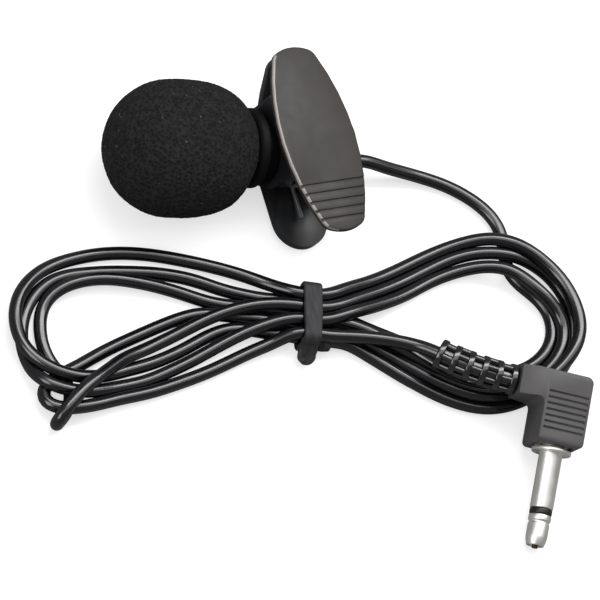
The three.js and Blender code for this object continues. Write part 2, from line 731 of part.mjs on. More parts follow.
// The groove in the paddle that the spring's rear leg lies in.
function springGroove() {
  const { coil, rear, leave } = springLegEnds();
  const start = new THREE.Vector2(coil * Math.cos(leave), coil * Math.sin(leave));
  const length = rear.distanceTo(start) + 2 * FIT_GAP;
  const half = WIRE_RADIUS + CORE_GAP;
  const tilt = Math.atan2(rear.y - start.y, start.x - rear.x);
  return box(-half, half, -length, 0, -half, 2 * half)
    .rotateX(-tilt)
    .translate(SPRING_LEG_X, start.x, start.y);
}

function clipSpring() {
  const { coil, front, rear, leave } = springLegEnds();
  const turn = Math.PI / 2 - leave + 2 * Math.PI * SPRING_TURNS;
  const steps = Math.round((turn / (2 * Math.PI)) * WIRE_STEPS_PER_TURN);
  const points = [new THREE.Vector3(-SPRING_LEG_X, front.x, front.y)];
  for (let i = 0; i <= steps; i += 1) {
    const share = i / steps;
    const angle = Math.PI / 2 - turn * share;
    const x = SPRING_LEG_X * (2 * share - 1);
    points.push(new THREE.Vector3(x, coil * Math.cos(angle), coil * Math.sin(angle)));
  }
  points.push(new THREE.Vector3(SPRING_LEG_X, rear.x, rear.y));
  return sweptWire(points);
}

// A wire swept through points, with its section turned square to the path at each one.
function sweptWire(points) {
  const positions = [];
  const index = [];
  const last = points.length - 1;
  const across = new THREE.Vector3(1, 0, 0);
  points.forEach((point, i) => {
    const along = new THREE.Vector3()
      .subVectors(points[Math.min(i + 1, last)], points[Math.max(i - 1, 0)])
      .normalize();
    const side = across.clone().addScaledVector(along, -across.dot(along)).normalize();
    const up = new THREE.Vector3().crossVectors(along, side);
    for (let k = 0; k < WIRE_SIDES; k += 1) {
      const angle = (2 * Math.PI * k) / WIRE_SIDES;
      const corner = point
        .clone()
        .addScaledVector(side, WIRE_RADIUS * Math.cos(angle))
        .addScaledVector(up, WIRE_RADIUS * Math.sin(angle));
      positions.push(corner.x, corner.y, corner.z);
    }
  });
  for (let i = 0; i < last; i += 1) {
    for (let k = 0; k < WIRE_SIDES; k += 1) {
      const a = i * WIRE_SIDES + k;
      const b = i * WIRE_SIDES + ((k + 1) % WIRE_SIDES);
      index.push(a, b, b + WIRE_SIDES, a, b + WIRE_SIDES, a + WIRE_SIDES);
    }
  }
  for (let k = 1; k < WIRE_SIDES - 1; k += 1) {
    index.push(0, k + 1, k);
    const end = last * WIRE_SIDES;
    index.push(end, end + k, end + k + 1);
  }
  const made = new THREE.BufferGeometry();
  made.setAttribute("position", new THREE.Float32BufferAttribute(positions, 3));
  made.setIndex(index);
  return made;
}

// ---- Plug, in its own frame ----

// Turns a shape made along x so that its x runs along -y.
function downShaft(geometry) {
  return geometry.rotateZ(-Math.PI / 2);
}

function sleeveContact() {
  const inside = SHOULDER_THICKNESS + STEM_LENGTH;
  return downShaft(
    turned([
      [-inside, SLEEVE_BORE_RADIUS],
      [-inside, STEM_RADIUS],
      [-SHOULDER_THICKNESS, STEM_RADIUS],
      [-SHOULDER_THICKNESS, SHOULDER_RADIUS],
      [-SHOULDER_THICKNESS * 0.3, SHOULDER_RADIUS],
      [0, SHOULDER_RADIUS - SHOULDER_THICKNESS * 0.3],
      [0, SHAFT_RADIUS],
      [SLEEVE_LENGTH, SHAFT_RADIUS],
      [SLEEVE_LENGTH, SLEEVE_BORE_RADIUS],
      [-inside, SLEEVE_BORE_RADIUS],
    ]),
  );
}

function tipContact() {
  const start = SLEEVE_LENGTH + INSULATOR_LENGTH + 2 * FIT_GAP;
  const bore = ROD_RADIUS + CORE_GAP;
  return downShaft(
    turned(
      [
        [start, bore],
        [start, INSULATOR_RADIUS],
        [start + TIP_LENGTH * 0.18, INSULATOR_RADIUS],
        [start + TIP_LENGTH * 0.25, TIP_WAIST_RADIUS],
        [start + TIP_LENGTH * 0.33, TIP_WAIST_RADIUS],
        [start + TIP_LENGTH * 0.5, TIP_BALL_RADIUS],
        [start + TIP_LENGTH * 0.78, TIP_BALL_RADIUS * 0.98],
        [start + TIP_LENGTH * 0.92, TIP_BALL_RADIUS * 0.8],
        [start + TIP_LENGTH, TIP_BALL_RADIUS * 0.55],
        [start + TIP_LENGTH, bore],
        [start, bore],
      ],
      28,
    ),
  );
}

function plugBody() {
  const bottom = SHOULDER_THICKNESS + FIT_GAP;
  const halfThick = BODY_THICKNESS / 2;
  const armBottom = BODY_TOP - ARM_HEIGHT;
  const c = BODY_CORNER;
  const toe = BODY_TOE;
  const outline = new THREE.Shape();
  outline.moveTo(-BODY_HALF_WIDTH + toe, bottom);
  outline.lineTo(BODY_HALF_WIDTH - toe, bottom);
  outline.absarc(BODY_HALF_WIDTH - toe, bottom + toe, toe, -Math.PI / 2, 0);
  outline.lineTo(BODY_HALF_WIDTH, BODY_TOP - c);
  outline.absarc(BODY_HALF_WIDTH - c, BODY_TOP - c, c, 0, Math.PI / 2);
  outline.lineTo(-ARM_REACH, BODY_TOP);
  outline.lineTo(-ARM_REACH, armBottom);
  outline.lineTo(-BODY_HALF_WIDTH - c, armBottom);
  outline.absarc(-BODY_HALF_WIDTH - c, armBottom - c, c, Math.PI / 2, 0, true);
  outline.lineTo(-BODY_HALF_WIDTH, bottom + toe);
  outline.absarc(-BODY_HALF_WIDTH + toe, bottom + toe, toe, Math.PI, 1.5 * Math.PI);
  const whole = plate(outline, -halfThick, halfThick, BODY_ROUND, 3);
  const armHalf = ARM_END_THICKNESS / 2;
  const taper = polygon([
    [-ARM_REACH - OVERSHOOT, -armHalf],
    [BODY_HALF_WIDTH - ARM_REACH, -halfThick],
    [2 * ARM_REACH, -halfThick],
    [2 * ARM_REACH, halfThick],
    [BODY_HALF_WIDTH - ARM_REACH, halfThick],
    [-ARM_REACH - OVERSHOOT, armHalf],
  ]);
  // The taper is drawn in the xz plane and reaches across the whole body.
  const wedge = plate(taper, -2 * BODY_TOP, OVERSHOOT).rotateX(Math.PI / 2);
  const grooves = [];
  const grooveHalf = BODY_HALF_WIDTH - PANEL_MARGIN;
  for (let i = 0; i <= PANEL_RIDGES; i += 1) {
    const y = PANEL_START + i * PANEL_PITCH;
    const low = y - PANEL_GROOVE / 2;
    const high = y + PANEL_GROOVE / 2;
    const floor = halfThick - PANEL_DEPTH;
    grooves.push(box(-grooveHalf, grooveHalf, low, high, floor, halfThick + OVERSHOOT));
    grooves.push(box(-grooveHalf, grooveHalf, low, high, -halfThick - OVERSHOOT, -floor));
  }
  const room = BODY_HALF_WIDTH - CAVITY_WALL;
  const cavity = box(-room, room, bottom - OVERSHOOT, BODY_TOP - CAVITY_WALL, -room, room);
  const entry = bar(-ARM_REACH - OVERSHOOT, 0, jacketBore, 16).translate(0, reliefRoot().y, 0);
  return cut(common(whole, wedge), ...grooves, cavity, entry);
}

function plugInside() {
  const start = SHOULDER_THICKNESS + FIT_GAP;
  const coreStart = start + FIT_GAP;
  const coreEnd = coreStart + CORE_LENGTH;
  const stemEnd = SHOULDER_THICKNESS + STEM_LENGTH;
  const coreHalf = BODY_HALF_WIDTH - CAVITY_WALL - FIT_GAP;
  const rodBore = ROD_RADIUS + ROD_TUBE_WALL + 2 * CORE_GAP;
  const stemBore = coreHalf - CORE_WALL;
  const lugLow = STEM_RADIUS - LUG_THICKNESS;
  const slotHalf = LUG_WIDTH / 2 + CORE_GAP;
  const core = cut(
    box(-coreHalf, coreHalf, coreStart, coreEnd, -coreHalf, coreHalf),
    downShaft(bar(-stemEnd - FIT_GAP, 0, stemBore, 24)),
    downShaft(bar(-coreEnd - OVERSHOOT, 0, rodBore, 16)),
    box(-slotHalf, slotHalf, coreStart, coreEnd + OVERSHOOT, lugLow - CORE_GAP, STEM_RADIUS + CORE_GAP),
  );
  const rodEnd = coreEnd + FIT_GAP;
  const lugEnd = rodEnd + CORE_GAP + LUG_LENGTH;
  const half = LUG_WIDTH / 2;
  const thick = LUG_THICKNESS / 2;
  const tipEnd = SLEEVE_LENGTH + INSULATOR_LENGTH + 2 * FIT_GAP + TIP_LENGTH;
  const conductor = (side, lugZ) => {
    const start = reliefRoot();
    start.x = -BODY_HALF_WIDTH + CORE_GAP;
    start.z = side * (CORE_RADIUS + CORE_GAP / 2);
    const end = new THREE.Vector3(-half - CORE_GAP, lugEnd - LUG_LENGTH / 2, lugZ);
    const ease = new THREE.Vector3((end.x - start.x) / 2, 0, 0);
    const path = new THREE.CubicBezierCurve3(start, start.clone().add(ease), end.clone().sub(ease), end);
    return tube(path, CORE_RADIUS, CABLE_SIDES, 6);
  };
  const tubeInner = ROD_RADIUS + CORE_GAP;
  const tubeOuter = tubeInner + ROD_TUBE_WALL;
  const ringStart = SLEEVE_LENGTH + FIT_GAP;
  const ringEnd = ringStart + INSULATOR_LENGTH;
  return [
    mesh("plug_core", core, CREAM_PLASTIC),
    mesh("insulator_ring", downShaft(pipe(ringStart, ringEnd, INSULATOR_RADIUS, tubeInner)), BLACK_PLASTIC),
    mesh("tip_rod", downShaft(bar(-rodEnd, tipEnd - CORE_GAP, ROD_RADIUS, 14)), BRASS),
    mesh(
      "rod_insulator",
      downShaft(pipe(-coreEnd + FIT_GAP, SLEEVE_LENGTH - FIT_GAP, tubeOuter, tubeInner, 20)),
      CREAM_PLASTIC,
    ),
    mesh("tip_lug", box(-half, half, rodEnd + CORE_GAP, lugEnd, -thick, thick), BRASS),
    mesh("sleeve_lug", box(-half, half, stemEnd + CORE_GAP, lugEnd, lugLow, STEM_RADIUS), BRASS),
    mesh("plug_signal_conductor", conductor(-1, 0), COPPER),
    mesh("plug_screen_conductor", conductor(1, STEM_RADIUS - thick), COPPER),
  ];
}

// Where a point of the straight strain relief, which lies along -x, comes when the relief is bent.
function bentPoint(point) {
  const axis = new THREE.Vector3(1, 0, 0);
  const curvature = RELIEF_BEND / RELIEF_LENGTH;
  const made = point.clone().applyAxisAngle(axis, -RELIEF_BEND_PLANE);
  const turn = curvature * Math.max(0, -made.x);
  const across = made.y - 1 / curvature;
  made.x = Math.max(0, made.x) + across * Math.sin(turn);
  made.y = 1 / curvature + across * Math.cos(turn);
  return made.applyAxisAngle(axis, RELIEF_BEND_PLANE);
}

function bent(geometry) {
  const position = geometry.getAttribute("position");
  for (let i = 0; i < position.count; i += 1) {
    const { x, y, z } = bentPoint(new THREE.Vector3().fromBufferAttribute(position, i));
    position.setXYZ(i, x, y, z);
  }
  return geometry;
}

function reliefRoot() {
  return new THREE.Vector3(-ARM_REACH, BODY_TOP - ARM_HEIGHT / 2, 0);
}

// The two last points of the cable before it enters the strain relief.
function reliefExit(piece) {
  const end = -(FIT_GAP + RELIEF_LENGTH + FIT_GAP);
  return [end - CABLE_RADIUS, end].map((x) => {
    const { x: a, y: b, z: c } = bentPoint(new THREE.Vector3(x, 0, 0)).add(reliefRoot());
    return placed(piece, a, b, c);
  });
}

function strainRelief() {
  const root = -FIT_GAP;
  const end = root - RELIEF_LENGTH;
  const rib = (RELIEF_LENGTH - (RELIEF_RIBS - 1) * RELIEF_SLOT) / RELIEF_RIBS;
  const pitch = rib + RELIEF_SLOT;
  const radius = (x) =>
    THREE.MathUtils.mapLinear(x, root, end, RELIEF_ROOT_RADIUS, RELIEF_END_RADIUS);
  const stops = Array.from({ length: 2 * RELIEF_RIBS - 1 }, (_, i) =>
    end + Math.floor((i + 1) / 2) * rib + Math.floor(i / 2) * RELIEF_SLOT);
  const profile = [
    [end, jacketBore],
    ...stops.map((x) => [x, radius(x)]),
    [root, radius(root)],
    [root, jacketBore],
    ...stops.map((x) => [x, jacketBore]).reverse(),
  ];
  const sleeve = turned(profile, 14);
  const slots = [];
  const wide = 2 * RELIEF_ROOT_RADIUS;
  for (let i = 1; i < RELIEF_RIBS; i += 1) {
    // Between two ribs the relief is cut to its core, but for the webs that stand round it.
    const x = root - i * pitch + RELIEF_SLOT;
    const around = pipe(x - RELIEF_SLOT, x, wide, RELIEF_CORE_RADIUS, 14);
    const webs = Array.from({ length: RELIEF_WEBS }, (_, k) =>
      box(x - 2 * RELIEF_SLOT, x + RELIEF_SLOT, -RELIEF_WEB / 2, RELIEF_WEB / 2, 0, 2 * wide)
        .rotateX((2 * Math.PI * (k + 0.5 * (i % 2))) / RELIEF_WEBS),
    );
    slots.push(cut(around, ...webs));
  }
  return cut(sleeve, ...slots);
}

function plug() {
  const reliefEnd = -FIT_GAP - RELIEF_LENGTH;
  const inside = ARM_REACH - BODY_HALF_WIDTH;
  const step = -reliefEnd / RELIEF_RIBS;
  const stops = Array.from({ length: RELIEF_RIBS + 1 }, (_, i) => reliefEnd + i * step);
  const outside = [...stops, inside].map((x) => [x, CABLE_RADIUS]);
  const jacket = turned([[reliefEnd, 0], ...outside, [inside, 0]], 16);
  const relief = group(
    mesh("strain_relief", bent(strainRelief()), RELIEF_PVC),
    mesh("plug_end_jacket", bent(jacket), CABLE_PVC),
  );
  relief.position.copy(reliefRoot());
  const made = group(
    mesh("plug_body", plugBody(), PLUG_PVC),
    mesh("sleeve_contact", sleeveContact(), NICKEL),
    mesh("tip_contact", tipContact(), NICKEL),
    ...plugInside(),
    relief,
  );
  made.rotation.set(PLUG_TILT, 0, PLUG_HEADING, "ZYX");
  made.position.copy(PLUG_PLACE);
  return made;
}

// ---- Cable outside the microphone and the plug ----

function leadTube(points) {
  const path = new THREE.CatmullRomCurve3(points);
  return tube(path, CABLE_RADIUS, CABLE_SIDES, Math.ceil(path.getLength() / CABLE_STEP));
}

function loopPlate(points, height) {
  return plate(polygon(points), 0, height, 0.4);
}

// A box about the waist's middle, turned to the waist's heading.
function atWaist(halfLength, halfWidth, low, high) {
  return box(-halfLength, halfLength, -halfWidth, halfWidth, low, high)
    .rotateZ(WAIST_HEADING)
    .translate(WAIST_PLACE.x, WAIST_PLACE.y, 0);
}

function hank() {
  return join(
    loopPlate(RIGHT_LOOP, LOOP_HEIGHT),
    loopPlate(LEFT_LOOP, CROSSED_HEIGHT),
    atWaist(WAIST_LENGTH / 2, WAIST_WIDTH / 2, WAIST_BOTTOM, WAIST_TOP),
  );
}

function cableTie() {
  const half = TIE_WIDTH / 2;
  const inside = WAIST_WIDTH / 2 + FIT_GAP;
  const outside = inside + TIE_THICKNESS;
  const low = WAIST_BOTTOM - FIT_GAP;
  const high = WAIST_TOP + FIT_GAP;
  const band = cut(
    atWaist(half, outside, low - TIE_THICKNESS, high + TIE_THICKNESS),
    atWaist(2 * half, inside, low, high),
  );
  const tail = box(-half, half, -outside - TIE_TAIL, -inside, low - TIE_THICKNESS, low)
    .rotateZ(WAIST_HEADING)
    .translate(WAIST_PLACE.x, WAIST_PLACE.y, 0);
  return join(band, tail);
}

// Where a point of a placed group is in the part's own frame.
function placed(owner, x, y, z) {
  owner.updateMatrix();
  return new THREE.Vector3(x, y, z).applyMatrix4(owner.matrix);
}

// ---- Assembly ----

const clip = group(
  mesh("clip_front", clipFront(), PAD_PLASTIC),
  mesh("clip_rear", clipRear(), CLIP_PLASTIC),
  mesh("clip_spring", clipSpring(), STEEL),
);

const microphone = group(
  mesh("mic_housing", micHousing(), HOUSING),
  ...capsule(),
  mesh("rear_cap", rearCap(), HOUSING),
  ...micCableEnd(),
  mesh("foam_windscreen", foamWindscreen(), FOAM),
  clip,
);
microphone.rotation.set(MIC_ROLL, MIC_PITCH, 0, "YXZ");

// The microphone's own box stands with its bottom centre at the origin.
const bounds = new THREE.Box3().setFromObject(microphone, true);
const middle = bounds.getCenter(new THREE.Vector3());
microphone.position.set(-middle.x, -middle.y, -bounds.min.z);

const plugPiece = plug();
const vectors = (points) => points.map((point) => new THREE.Vector3(...point));
const micExit = placed(microphone, exitX + FIT_GAP, EXIT_Y, EXIT_Z);
const micAhead = placed(microphone, exitX + FIT_GAP + CABLE_RADIUS, EXIT_Y, EXIT_Z);

const part = group(
  microphone,
  plugPiece,
  mesh("cable_mic_lead", leadTube([micExit, micAhead, ...vectors(MIC_LEAD)]), CABLE_PVC),
  mesh("cable_plug_lead", leadTube([...vectors(PLUG_LEAD), ...reliefExit(plugPiece)]), CABLE_PVC),
  mesh("cable_hank", hank(), CABLE_PVC),
  mesh("cable_tie", cableTie(), TIE_RUBBER),
);

export default part;
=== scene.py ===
"""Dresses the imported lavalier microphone: cable, tie, windscreen, clip, housing, plug and studio.

Lengths in this file are millimetres in the part's own frame unless a name says otherwise, and
every mesh is written in metres. The part lies on the plane z = 0.
"""

import json
import logging
import math
from dataclasses import dataclass
from enum import Enum

import bmesh
import bpy
import numpy as np
from mathutils import Matrix, Vector, noise

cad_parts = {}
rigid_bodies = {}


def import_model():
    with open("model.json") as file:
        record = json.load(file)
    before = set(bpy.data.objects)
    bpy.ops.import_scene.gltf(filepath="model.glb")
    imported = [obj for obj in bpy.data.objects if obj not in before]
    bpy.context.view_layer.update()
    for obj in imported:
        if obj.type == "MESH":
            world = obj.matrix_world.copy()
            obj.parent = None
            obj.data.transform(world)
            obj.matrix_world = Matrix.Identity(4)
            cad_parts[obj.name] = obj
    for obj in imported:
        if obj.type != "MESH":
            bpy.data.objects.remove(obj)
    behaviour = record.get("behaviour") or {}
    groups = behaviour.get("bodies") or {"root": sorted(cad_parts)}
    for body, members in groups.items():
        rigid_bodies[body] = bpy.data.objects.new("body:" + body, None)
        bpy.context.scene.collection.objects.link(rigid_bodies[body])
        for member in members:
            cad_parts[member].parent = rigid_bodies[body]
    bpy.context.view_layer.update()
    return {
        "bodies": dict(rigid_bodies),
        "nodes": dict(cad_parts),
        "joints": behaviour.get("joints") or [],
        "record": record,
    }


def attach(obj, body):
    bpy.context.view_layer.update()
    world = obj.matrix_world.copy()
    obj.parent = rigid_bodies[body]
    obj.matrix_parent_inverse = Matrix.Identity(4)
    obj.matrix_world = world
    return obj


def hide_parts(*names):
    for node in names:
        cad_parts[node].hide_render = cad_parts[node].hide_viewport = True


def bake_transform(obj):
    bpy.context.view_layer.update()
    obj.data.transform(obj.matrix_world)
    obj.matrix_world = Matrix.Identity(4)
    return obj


LOG = logging.getLogger("lavalier")
MM = 0.001

Object = bpy.types.Object
Tree = bpy.types.NodeTree
Socket = bpy.types.NodeSocket
Spot = tuple[float, float, float]
Profile = list[tuple[float, float]]
Faces = list[tuple[int, ...]]

# The microphone's own frame: x along the barrel, from the foam to the cable.
MIC_PLACE = (10.75598, 1.41537, 7.29026)
MIC_PITCH = math.radians(9)
MIC_ROLL = math.radians(4.6)

# The clip's long axis leans on the barrel, and its middle is set back towards the levers.
CLIP_RAKE = math.radians(9)
CLIP_SETBACK = 0.9

# The plug's own frame: the cable comes in along +x and the shaft points along -y.
PLUG_PLACE = (41.94, -48.98, 5.0)
PLUG_HEADING = math.radians(-17.5)
PLUG_TILT = math.radians(15)

# The hank's waist, where the tie goes round it, and the way that the strands run there.
TIE_PLACE = (9.1, -24.2)
TIE_HEADING = math.radians(-11)
ALONG_WAIST = np.array((math.cos(TIE_HEADING), math.sin(TIE_HEADING), 0.0))
ACROSS_WAIST = np.array((-math.sin(TIE_HEADING), math.cos(TIE_HEADING), 0.0))


class Body(Enum):
    """The bodies of the part that a piece can ride on."""

    MICROPHONE = "microphone"
    FOAM = "foam"
    CLIP_BACK = "clip_back"
    CLIP_PAD = "clip_pad"


class Layer(Enum):
    """The two layers of strands inside the tie, as the height of a strand's middle."""

    LOWER = 1.65
    UPPER = 3.65


def mic_frame() -> np.ndarray:
    """Gives the microphone's own frame as a 4 by 4 matrix in millimetres."""
    turn = Matrix.Rotation(MIC_PITCH, 4, "Y") @ Matrix.Rotation(MIC_ROLL, 4, "X")
    return np.array(Matrix.Translation(MIC_PLACE) @ turn)


def clip_frame() -> np.ndarray:
    """Gives the clip's own frame, raked on the barrel, as a 4 by 4 matrix in millimetres."""
    turn = Matrix.Rotation(CLIP_RAKE, 4, "Z") @ Matrix.Translation((0, -CLIP_SETBACK, 0))
    return mic_frame() @ np.array(turn)


def plug_frame() -> np.ndarray:
    """Gives the plug's own frame as a 4 by 4 matrix in millimetres."""
    turn = Matrix.Rotation(PLUG_HEADING, 4, "Z") @ Matrix.Rotation(PLUG_TILT, 4, "X")
    return np.array(Matrix.Translation(PLUG_PLACE) @ turn)


def placed(frame: np.ndarray, points: np.ndarray | list[Spot]) -> np.ndarray:
    """Moves points from an own frame into the part's frame.

    Args:
        frame: 4 by 4 matrix of the own frame.
        points: n points in it.

    Returns:
        n by 3 array of points in the part's frame.
    """
    return np.asarray(points, float) @ frame[:3, :3].T + frame[:3, 3]


def taken_back(frame: np.ndarray, points: np.ndarray) -> np.ndarray:
    """Moves points from the part's frame into an own frame, the reverse of placed."""
    return (points - frame[:3, 3]) @ frame[:3, :3]


@dataclass(frozen=True)
class ReliefAxis:
    """The bent middle line of the plug's strain relief, which the cable's end follows too.

    It turns by bend over its length, and plane is the way that it turns, about the plug's own x.
    """

    root: Spot = (-7.2, 9.6, 0.0)
    length: float = 12.1
    bend: float = math.radians(23)
    plane: float = math.radians(-47)

    def point(self, back: float) -> np.ndarray:
        """Gives the point that lies back from the root, measured along the line."""
        curvature = self.bend / self.length
        turn = curvature * back
        side = (1 - math.cos(turn)) / curvature
        aside = (side * math.cos(self.plane), side * math.sin(self.plane))
        own = np.array(self.root) + np.array((-math.sin(turn) / curvature, *aside))
        return placed(plug_frame(), own[None])[0]


# ---------------------------------------------------------------- nodes and finishes


def linear(code: str) -> tuple[float, float, float, float]:
    """Turns an sRGB hex colour such as "#26272a" into linear RGBA."""
    parts = [int(code[i : i + 2], 16) / 255 for i in (1, 3, 5)]
    rgb = [c / 12.92 if c <= 0.04045 else ((c + 0.055) / 1.055) ** 2.4 for c in parts]
    return (*rgb, 1.0)


def bare_tree(owner: bpy.types.ID) -> Tree:
    """Gives the emptied node tree of a material or a world."""
    owner.use_nodes = True
    owner.node_tree.nodes.clear()
    return owner.node_tree


def add_node(
    tree: Tree,
    kind: str,
    inputs: dict[str | int, object] | None = None,
    **settings: object,
) -> bpy.types.Node:
    """Adds a node with its settings, constants and links.

    Args:
        tree: the tree that the node goes into.
        kind: the node's bl_idname.
        inputs: input name or index to a constant, to an output socket to link from, or to a
            list of such sockets.
        **settings: properties of the node itself.

    Returns:
        The new node.
    """
    made = tree.nodes.new(kind)
    for name, value in settings.items():
        setattr(made, name, value)
    for key, value in (inputs or {}).items():
        if isinstance(value, (Socket, list)):
            for source in value if isinstance(value, list) else [value]:
                tree.links.new(source, made.inputs[key])
        else:
            made.inputs[key].default_value = value
    return made


def add_math(tree: Tree, operation: str, *values: float | Socket) -> Socket:
    """Adds a math node on constants or sockets, and gives the socket of its value."""
    return add_node(tree, "ShaderNodeMath", dict(enumerate(values)), operation=operation).outputs[0]


def add_range(
    tree: Tree,
    source: Socket,
    onto: tuple[float | Socket, float],
    reach: tuple[float, float] = (0.0, 1.0),
) -> Socket:
    """Maps a value linearly from one range onto another.

    Args:
        tree: the tree that the node goes into.
        source: the value.
        onto: the two ends of the wanted values.
        reach: the two ends of the values that they come from.

    Returns:
        The socket of the mapped value.
    """
    ends = {"From Min": reach[0], "From Max": reach[1], "To Min": onto[0], "To Max": onto[1]}
    return add_node(tree, "ShaderNodeMapRange", {"Value": source, **ends}).outputs["Result"]


def add_tint(tree: Tree, colour: str, value: Socket) -> Socket:
    """Adds a colour made lighter or darker by a value about 1, and gives its socket."""
    inputs = {"Value": value, "Color": linear(colour)}
    return add_node(tree, "ShaderNodeHueSaturation", inputs).outputs["Color"]


# The values that most of a noise texture lies between.
NOISE_REACH = (0.3, 0.7)


@dataclass(frozen=True)
class Finish:
    """A finish with a slightly uneven colour and gloss, and a fine grain.

    Grain is the size of the surface's texture in millimetres, and relief its depth. Stretch makes
    the grain longer along the part's own x, y or z.
    """

    name: str
    colour: str
    roughness: float
    metallic: float = 0.0
    ior: float = 1.5
    shine: float = 0.5
    mottle: float = 0.06
    mottle_mm: float = 4.0
    grain_mm: float = 0.25
    relief_mm: float = 0.008
    gloss_spread: float = 0.06
    gloss_mm: float = 2.5
    stretch: Spot = (1.0, 1.0, 1.0)

    def material(self) -> bpy.types.Material:
        """Returns the finish's material, made on first use."""
        if self.name in bpy.data.materials:
            return bpy.data.materials[self.name]
        made = bpy.data.materials.new(self.name)
        made.diffuse_color = linear(self.colour)
        tree = bare_tree(made)
        shader = add_node(
            tree,
            "ShaderNodeBsdfPrincipled",
            {
                "Base Color": self.coloured(tree),
                "Metallic": self.metallic,
                "IOR": self.ior,
                "Specular IOR Level": self.shine,
                "Roughness": self.glossed(tree),
                "Normal": self.grained(tree),
            },
        )
        add_node(tree, "ShaderNodeOutputMaterial", {"Surface": shader.outputs[0]})
        return made

    def pattern(self, tree: Tree, size_mm: float, detail: float) -> Socket:
        """Adds soft random blobs.

        Args:
            tree: the material's tree.
            size_mm: about how wide a blob is.
            detail: octaves of finer blobs on them.

        Returns:
            The socket of their value, mostly within NOISE_REACH.
        """
        where = add_node(tree, "ShaderNodeTexCoord").outputs["Object"]
        scale = tuple(1 / s for s in self.stretch)
        drawn = add_node(tree, "ShaderNodeMapping", {"Vector": where, "Scale": scale})
        made = add_node(
            tree,
            "ShaderNodeTexNoise",
            {"Vector": drawn.outputs[0], "Scale": 1 / (size_mm * MM), "Detail": detail},
        )
        return made.outputs["Fac"]

    def coloured(self, tree: Tree) -> Socket:
        """Adds the colour, a little lighter and darker from place to place."""
        blobs = self.pattern(tree, self.mottle_mm, 3)
        value = add_range(tree, blobs, (1 - self.mottle, 1 + self.mottle), NOISE_REACH)
        return add_tint(tree, self.colour, value)

    def glossed(self, tree: Tree) -> Socket:
        """Adds the roughness, uneven as handled and moulded surfaces are."""
        ends = (max(0.02, self.roughness - self.gloss_spread), self.roughness + self.gloss_spread)
        return add_range(tree, self.pattern(tree, self.gloss_mm, 4), ends, NOISE_REACH)

    def height(self, tree: Tree) -> Socket:
        """Adds the height of the fine moulded or drawn texture."""
        return self.pattern(tree, self.grain_mm, 2)

    def grained(self, tree: Tree) -> Socket:
        """Adds the normal that the texture's height gives."""
        inputs = {"Height": self.height(tree), "Distance": self.relief_mm * MM}
        return add_node(tree, "ShaderNodeBump", inputs).outputs["Normal"]


@dataclass(frozen=True)
class FoamFinish(Finish):
    """Open-cell polyurethane foam: dull, its colour painted darker in the pores as their shade and
    lighter on the struts, with a few pale specks of lint.
    """

    shine: float = 0.1
    relief_mm: float = 0.14
    gloss_spread: float = 0.0
    pore_mm: float = 0.5
    pore_reach: tuple[float, float] = (0.1, 0.7)
    pore_shades: tuple[float, float] = (0.45, 1.25)
    fuzz_mm: float = 1.3
    fuzz_shades: tuple[float, float] = (0.8, 1.25)
    lint: str = "#8d8d90"
    lint_mm: float = 0.55
    lint_reach: tuple[float, float] = (0.755, 0.8)
    lint_share: float = 0.4

    def height(self, tree: Tree) -> Socket:
        """Adds the pores, deep in the middle of a cell and high at the struts."""
        where = add_node(tree, "ShaderNodeTexCoord").outputs["Object"]
        scale = 1 / (self.pore_mm * MM)
        cells = add_node(tree, "ShaderNodeTexVoronoi", {"Vector": where, "Scale": scale})
        pores = add_range(tree, cells.outputs["Distance"], self.pore_shades, self.pore_reach)
        blobs = self.pattern(tree, self.fuzz_mm, 4)
        return add_math(
            tree, "MULTIPLY", pores, add_range(tree, blobs, self.fuzz_shades, NOISE_REACH)
        )

    def coloured(self, tree: Tree) -> Socket:
        """Adds the foam's colour, painted darker in the pores as their shade, with the lint on it.
        """
        # The colour follows the pores' depth: painted shade in the pores, lighter struts.
        base = add_tint(tree, self.colour, self.height(tree))
        specks = self.pattern(tree, self.lint_mm, 1)
        speck = add_range(tree, specks, (0.0, self.lint_share), self.lint_reach)
        # Inputs 6 and 7 and output 2 are the colour ones.
        inputs = {"Factor": speck, 6: base, 7: linear(self.lint)}
        return add_node(tree, "ShaderNodeMix", inputs, data_type="RGBA").outputs[2]


# Plasticised PVC jacket: extruded, so it is smooth, with long soft-edged highlights.
CABLE_PVC = Finish("extruded_pvc_jacket", "#09090d", 0.2, shine=0.8, grain_mm=0.5, relief_mm=0.003)
# ABS moulded in a lightly spark-eroded tool: even satin, with a faint fine grain. Its warm grey is
# a painted reflection of the soft box on the clip's near-black plastic.
PAD_FACE_PAINTED_SHEEN = Finish(
    "abs_face_painted_sheen", "#33302d", 0.5, shine=0.35, mottle=0.04, grain_mm=0.3, relief_mm=0.012
)
# The pad's rim: its paler colour is a painted highlight along the rounded edge, and it is a little
# glossier than the face.
PAD_RIM_PAINTED_HIGHLIGHT = Finish("abs_rim_painted_highlight", "#8d8682", 0.35, mottle=0.08, grain_mm=0.3)
# The same ABS in near-black; it shows only in soft grey sheens.
CLIP_ABS = Finish("satin_abs_near_black", "#1c1d20", 0.4, grain_mm=0.3, relief_mm=0.01)
# Spark-eroded ABS of the barrel: matt black, with hardly any highlight.
HOUSING_ABS = Finish("matt_abs_black", "#060607", 0.6, shine=0.15, grain_mm=0.3)
# Grip moulded in soft PVC: dull dark grey, with a fine sandy texture.
PLUG_PVC = Finish(
    "moulded_pvc_dark_grey", "#484647", 0.55, mottle=0.08, grain_mm=0.22, relief_mm=0.014
)
# The same soft PVC in black, left shiny by the mould on its ribs.
RELIEF_PVC = Finish("moulded_pvc_black", "#0c0c0e", 0.2, shine=1.0, grain_mm=0.3, relief_mm=0.006)
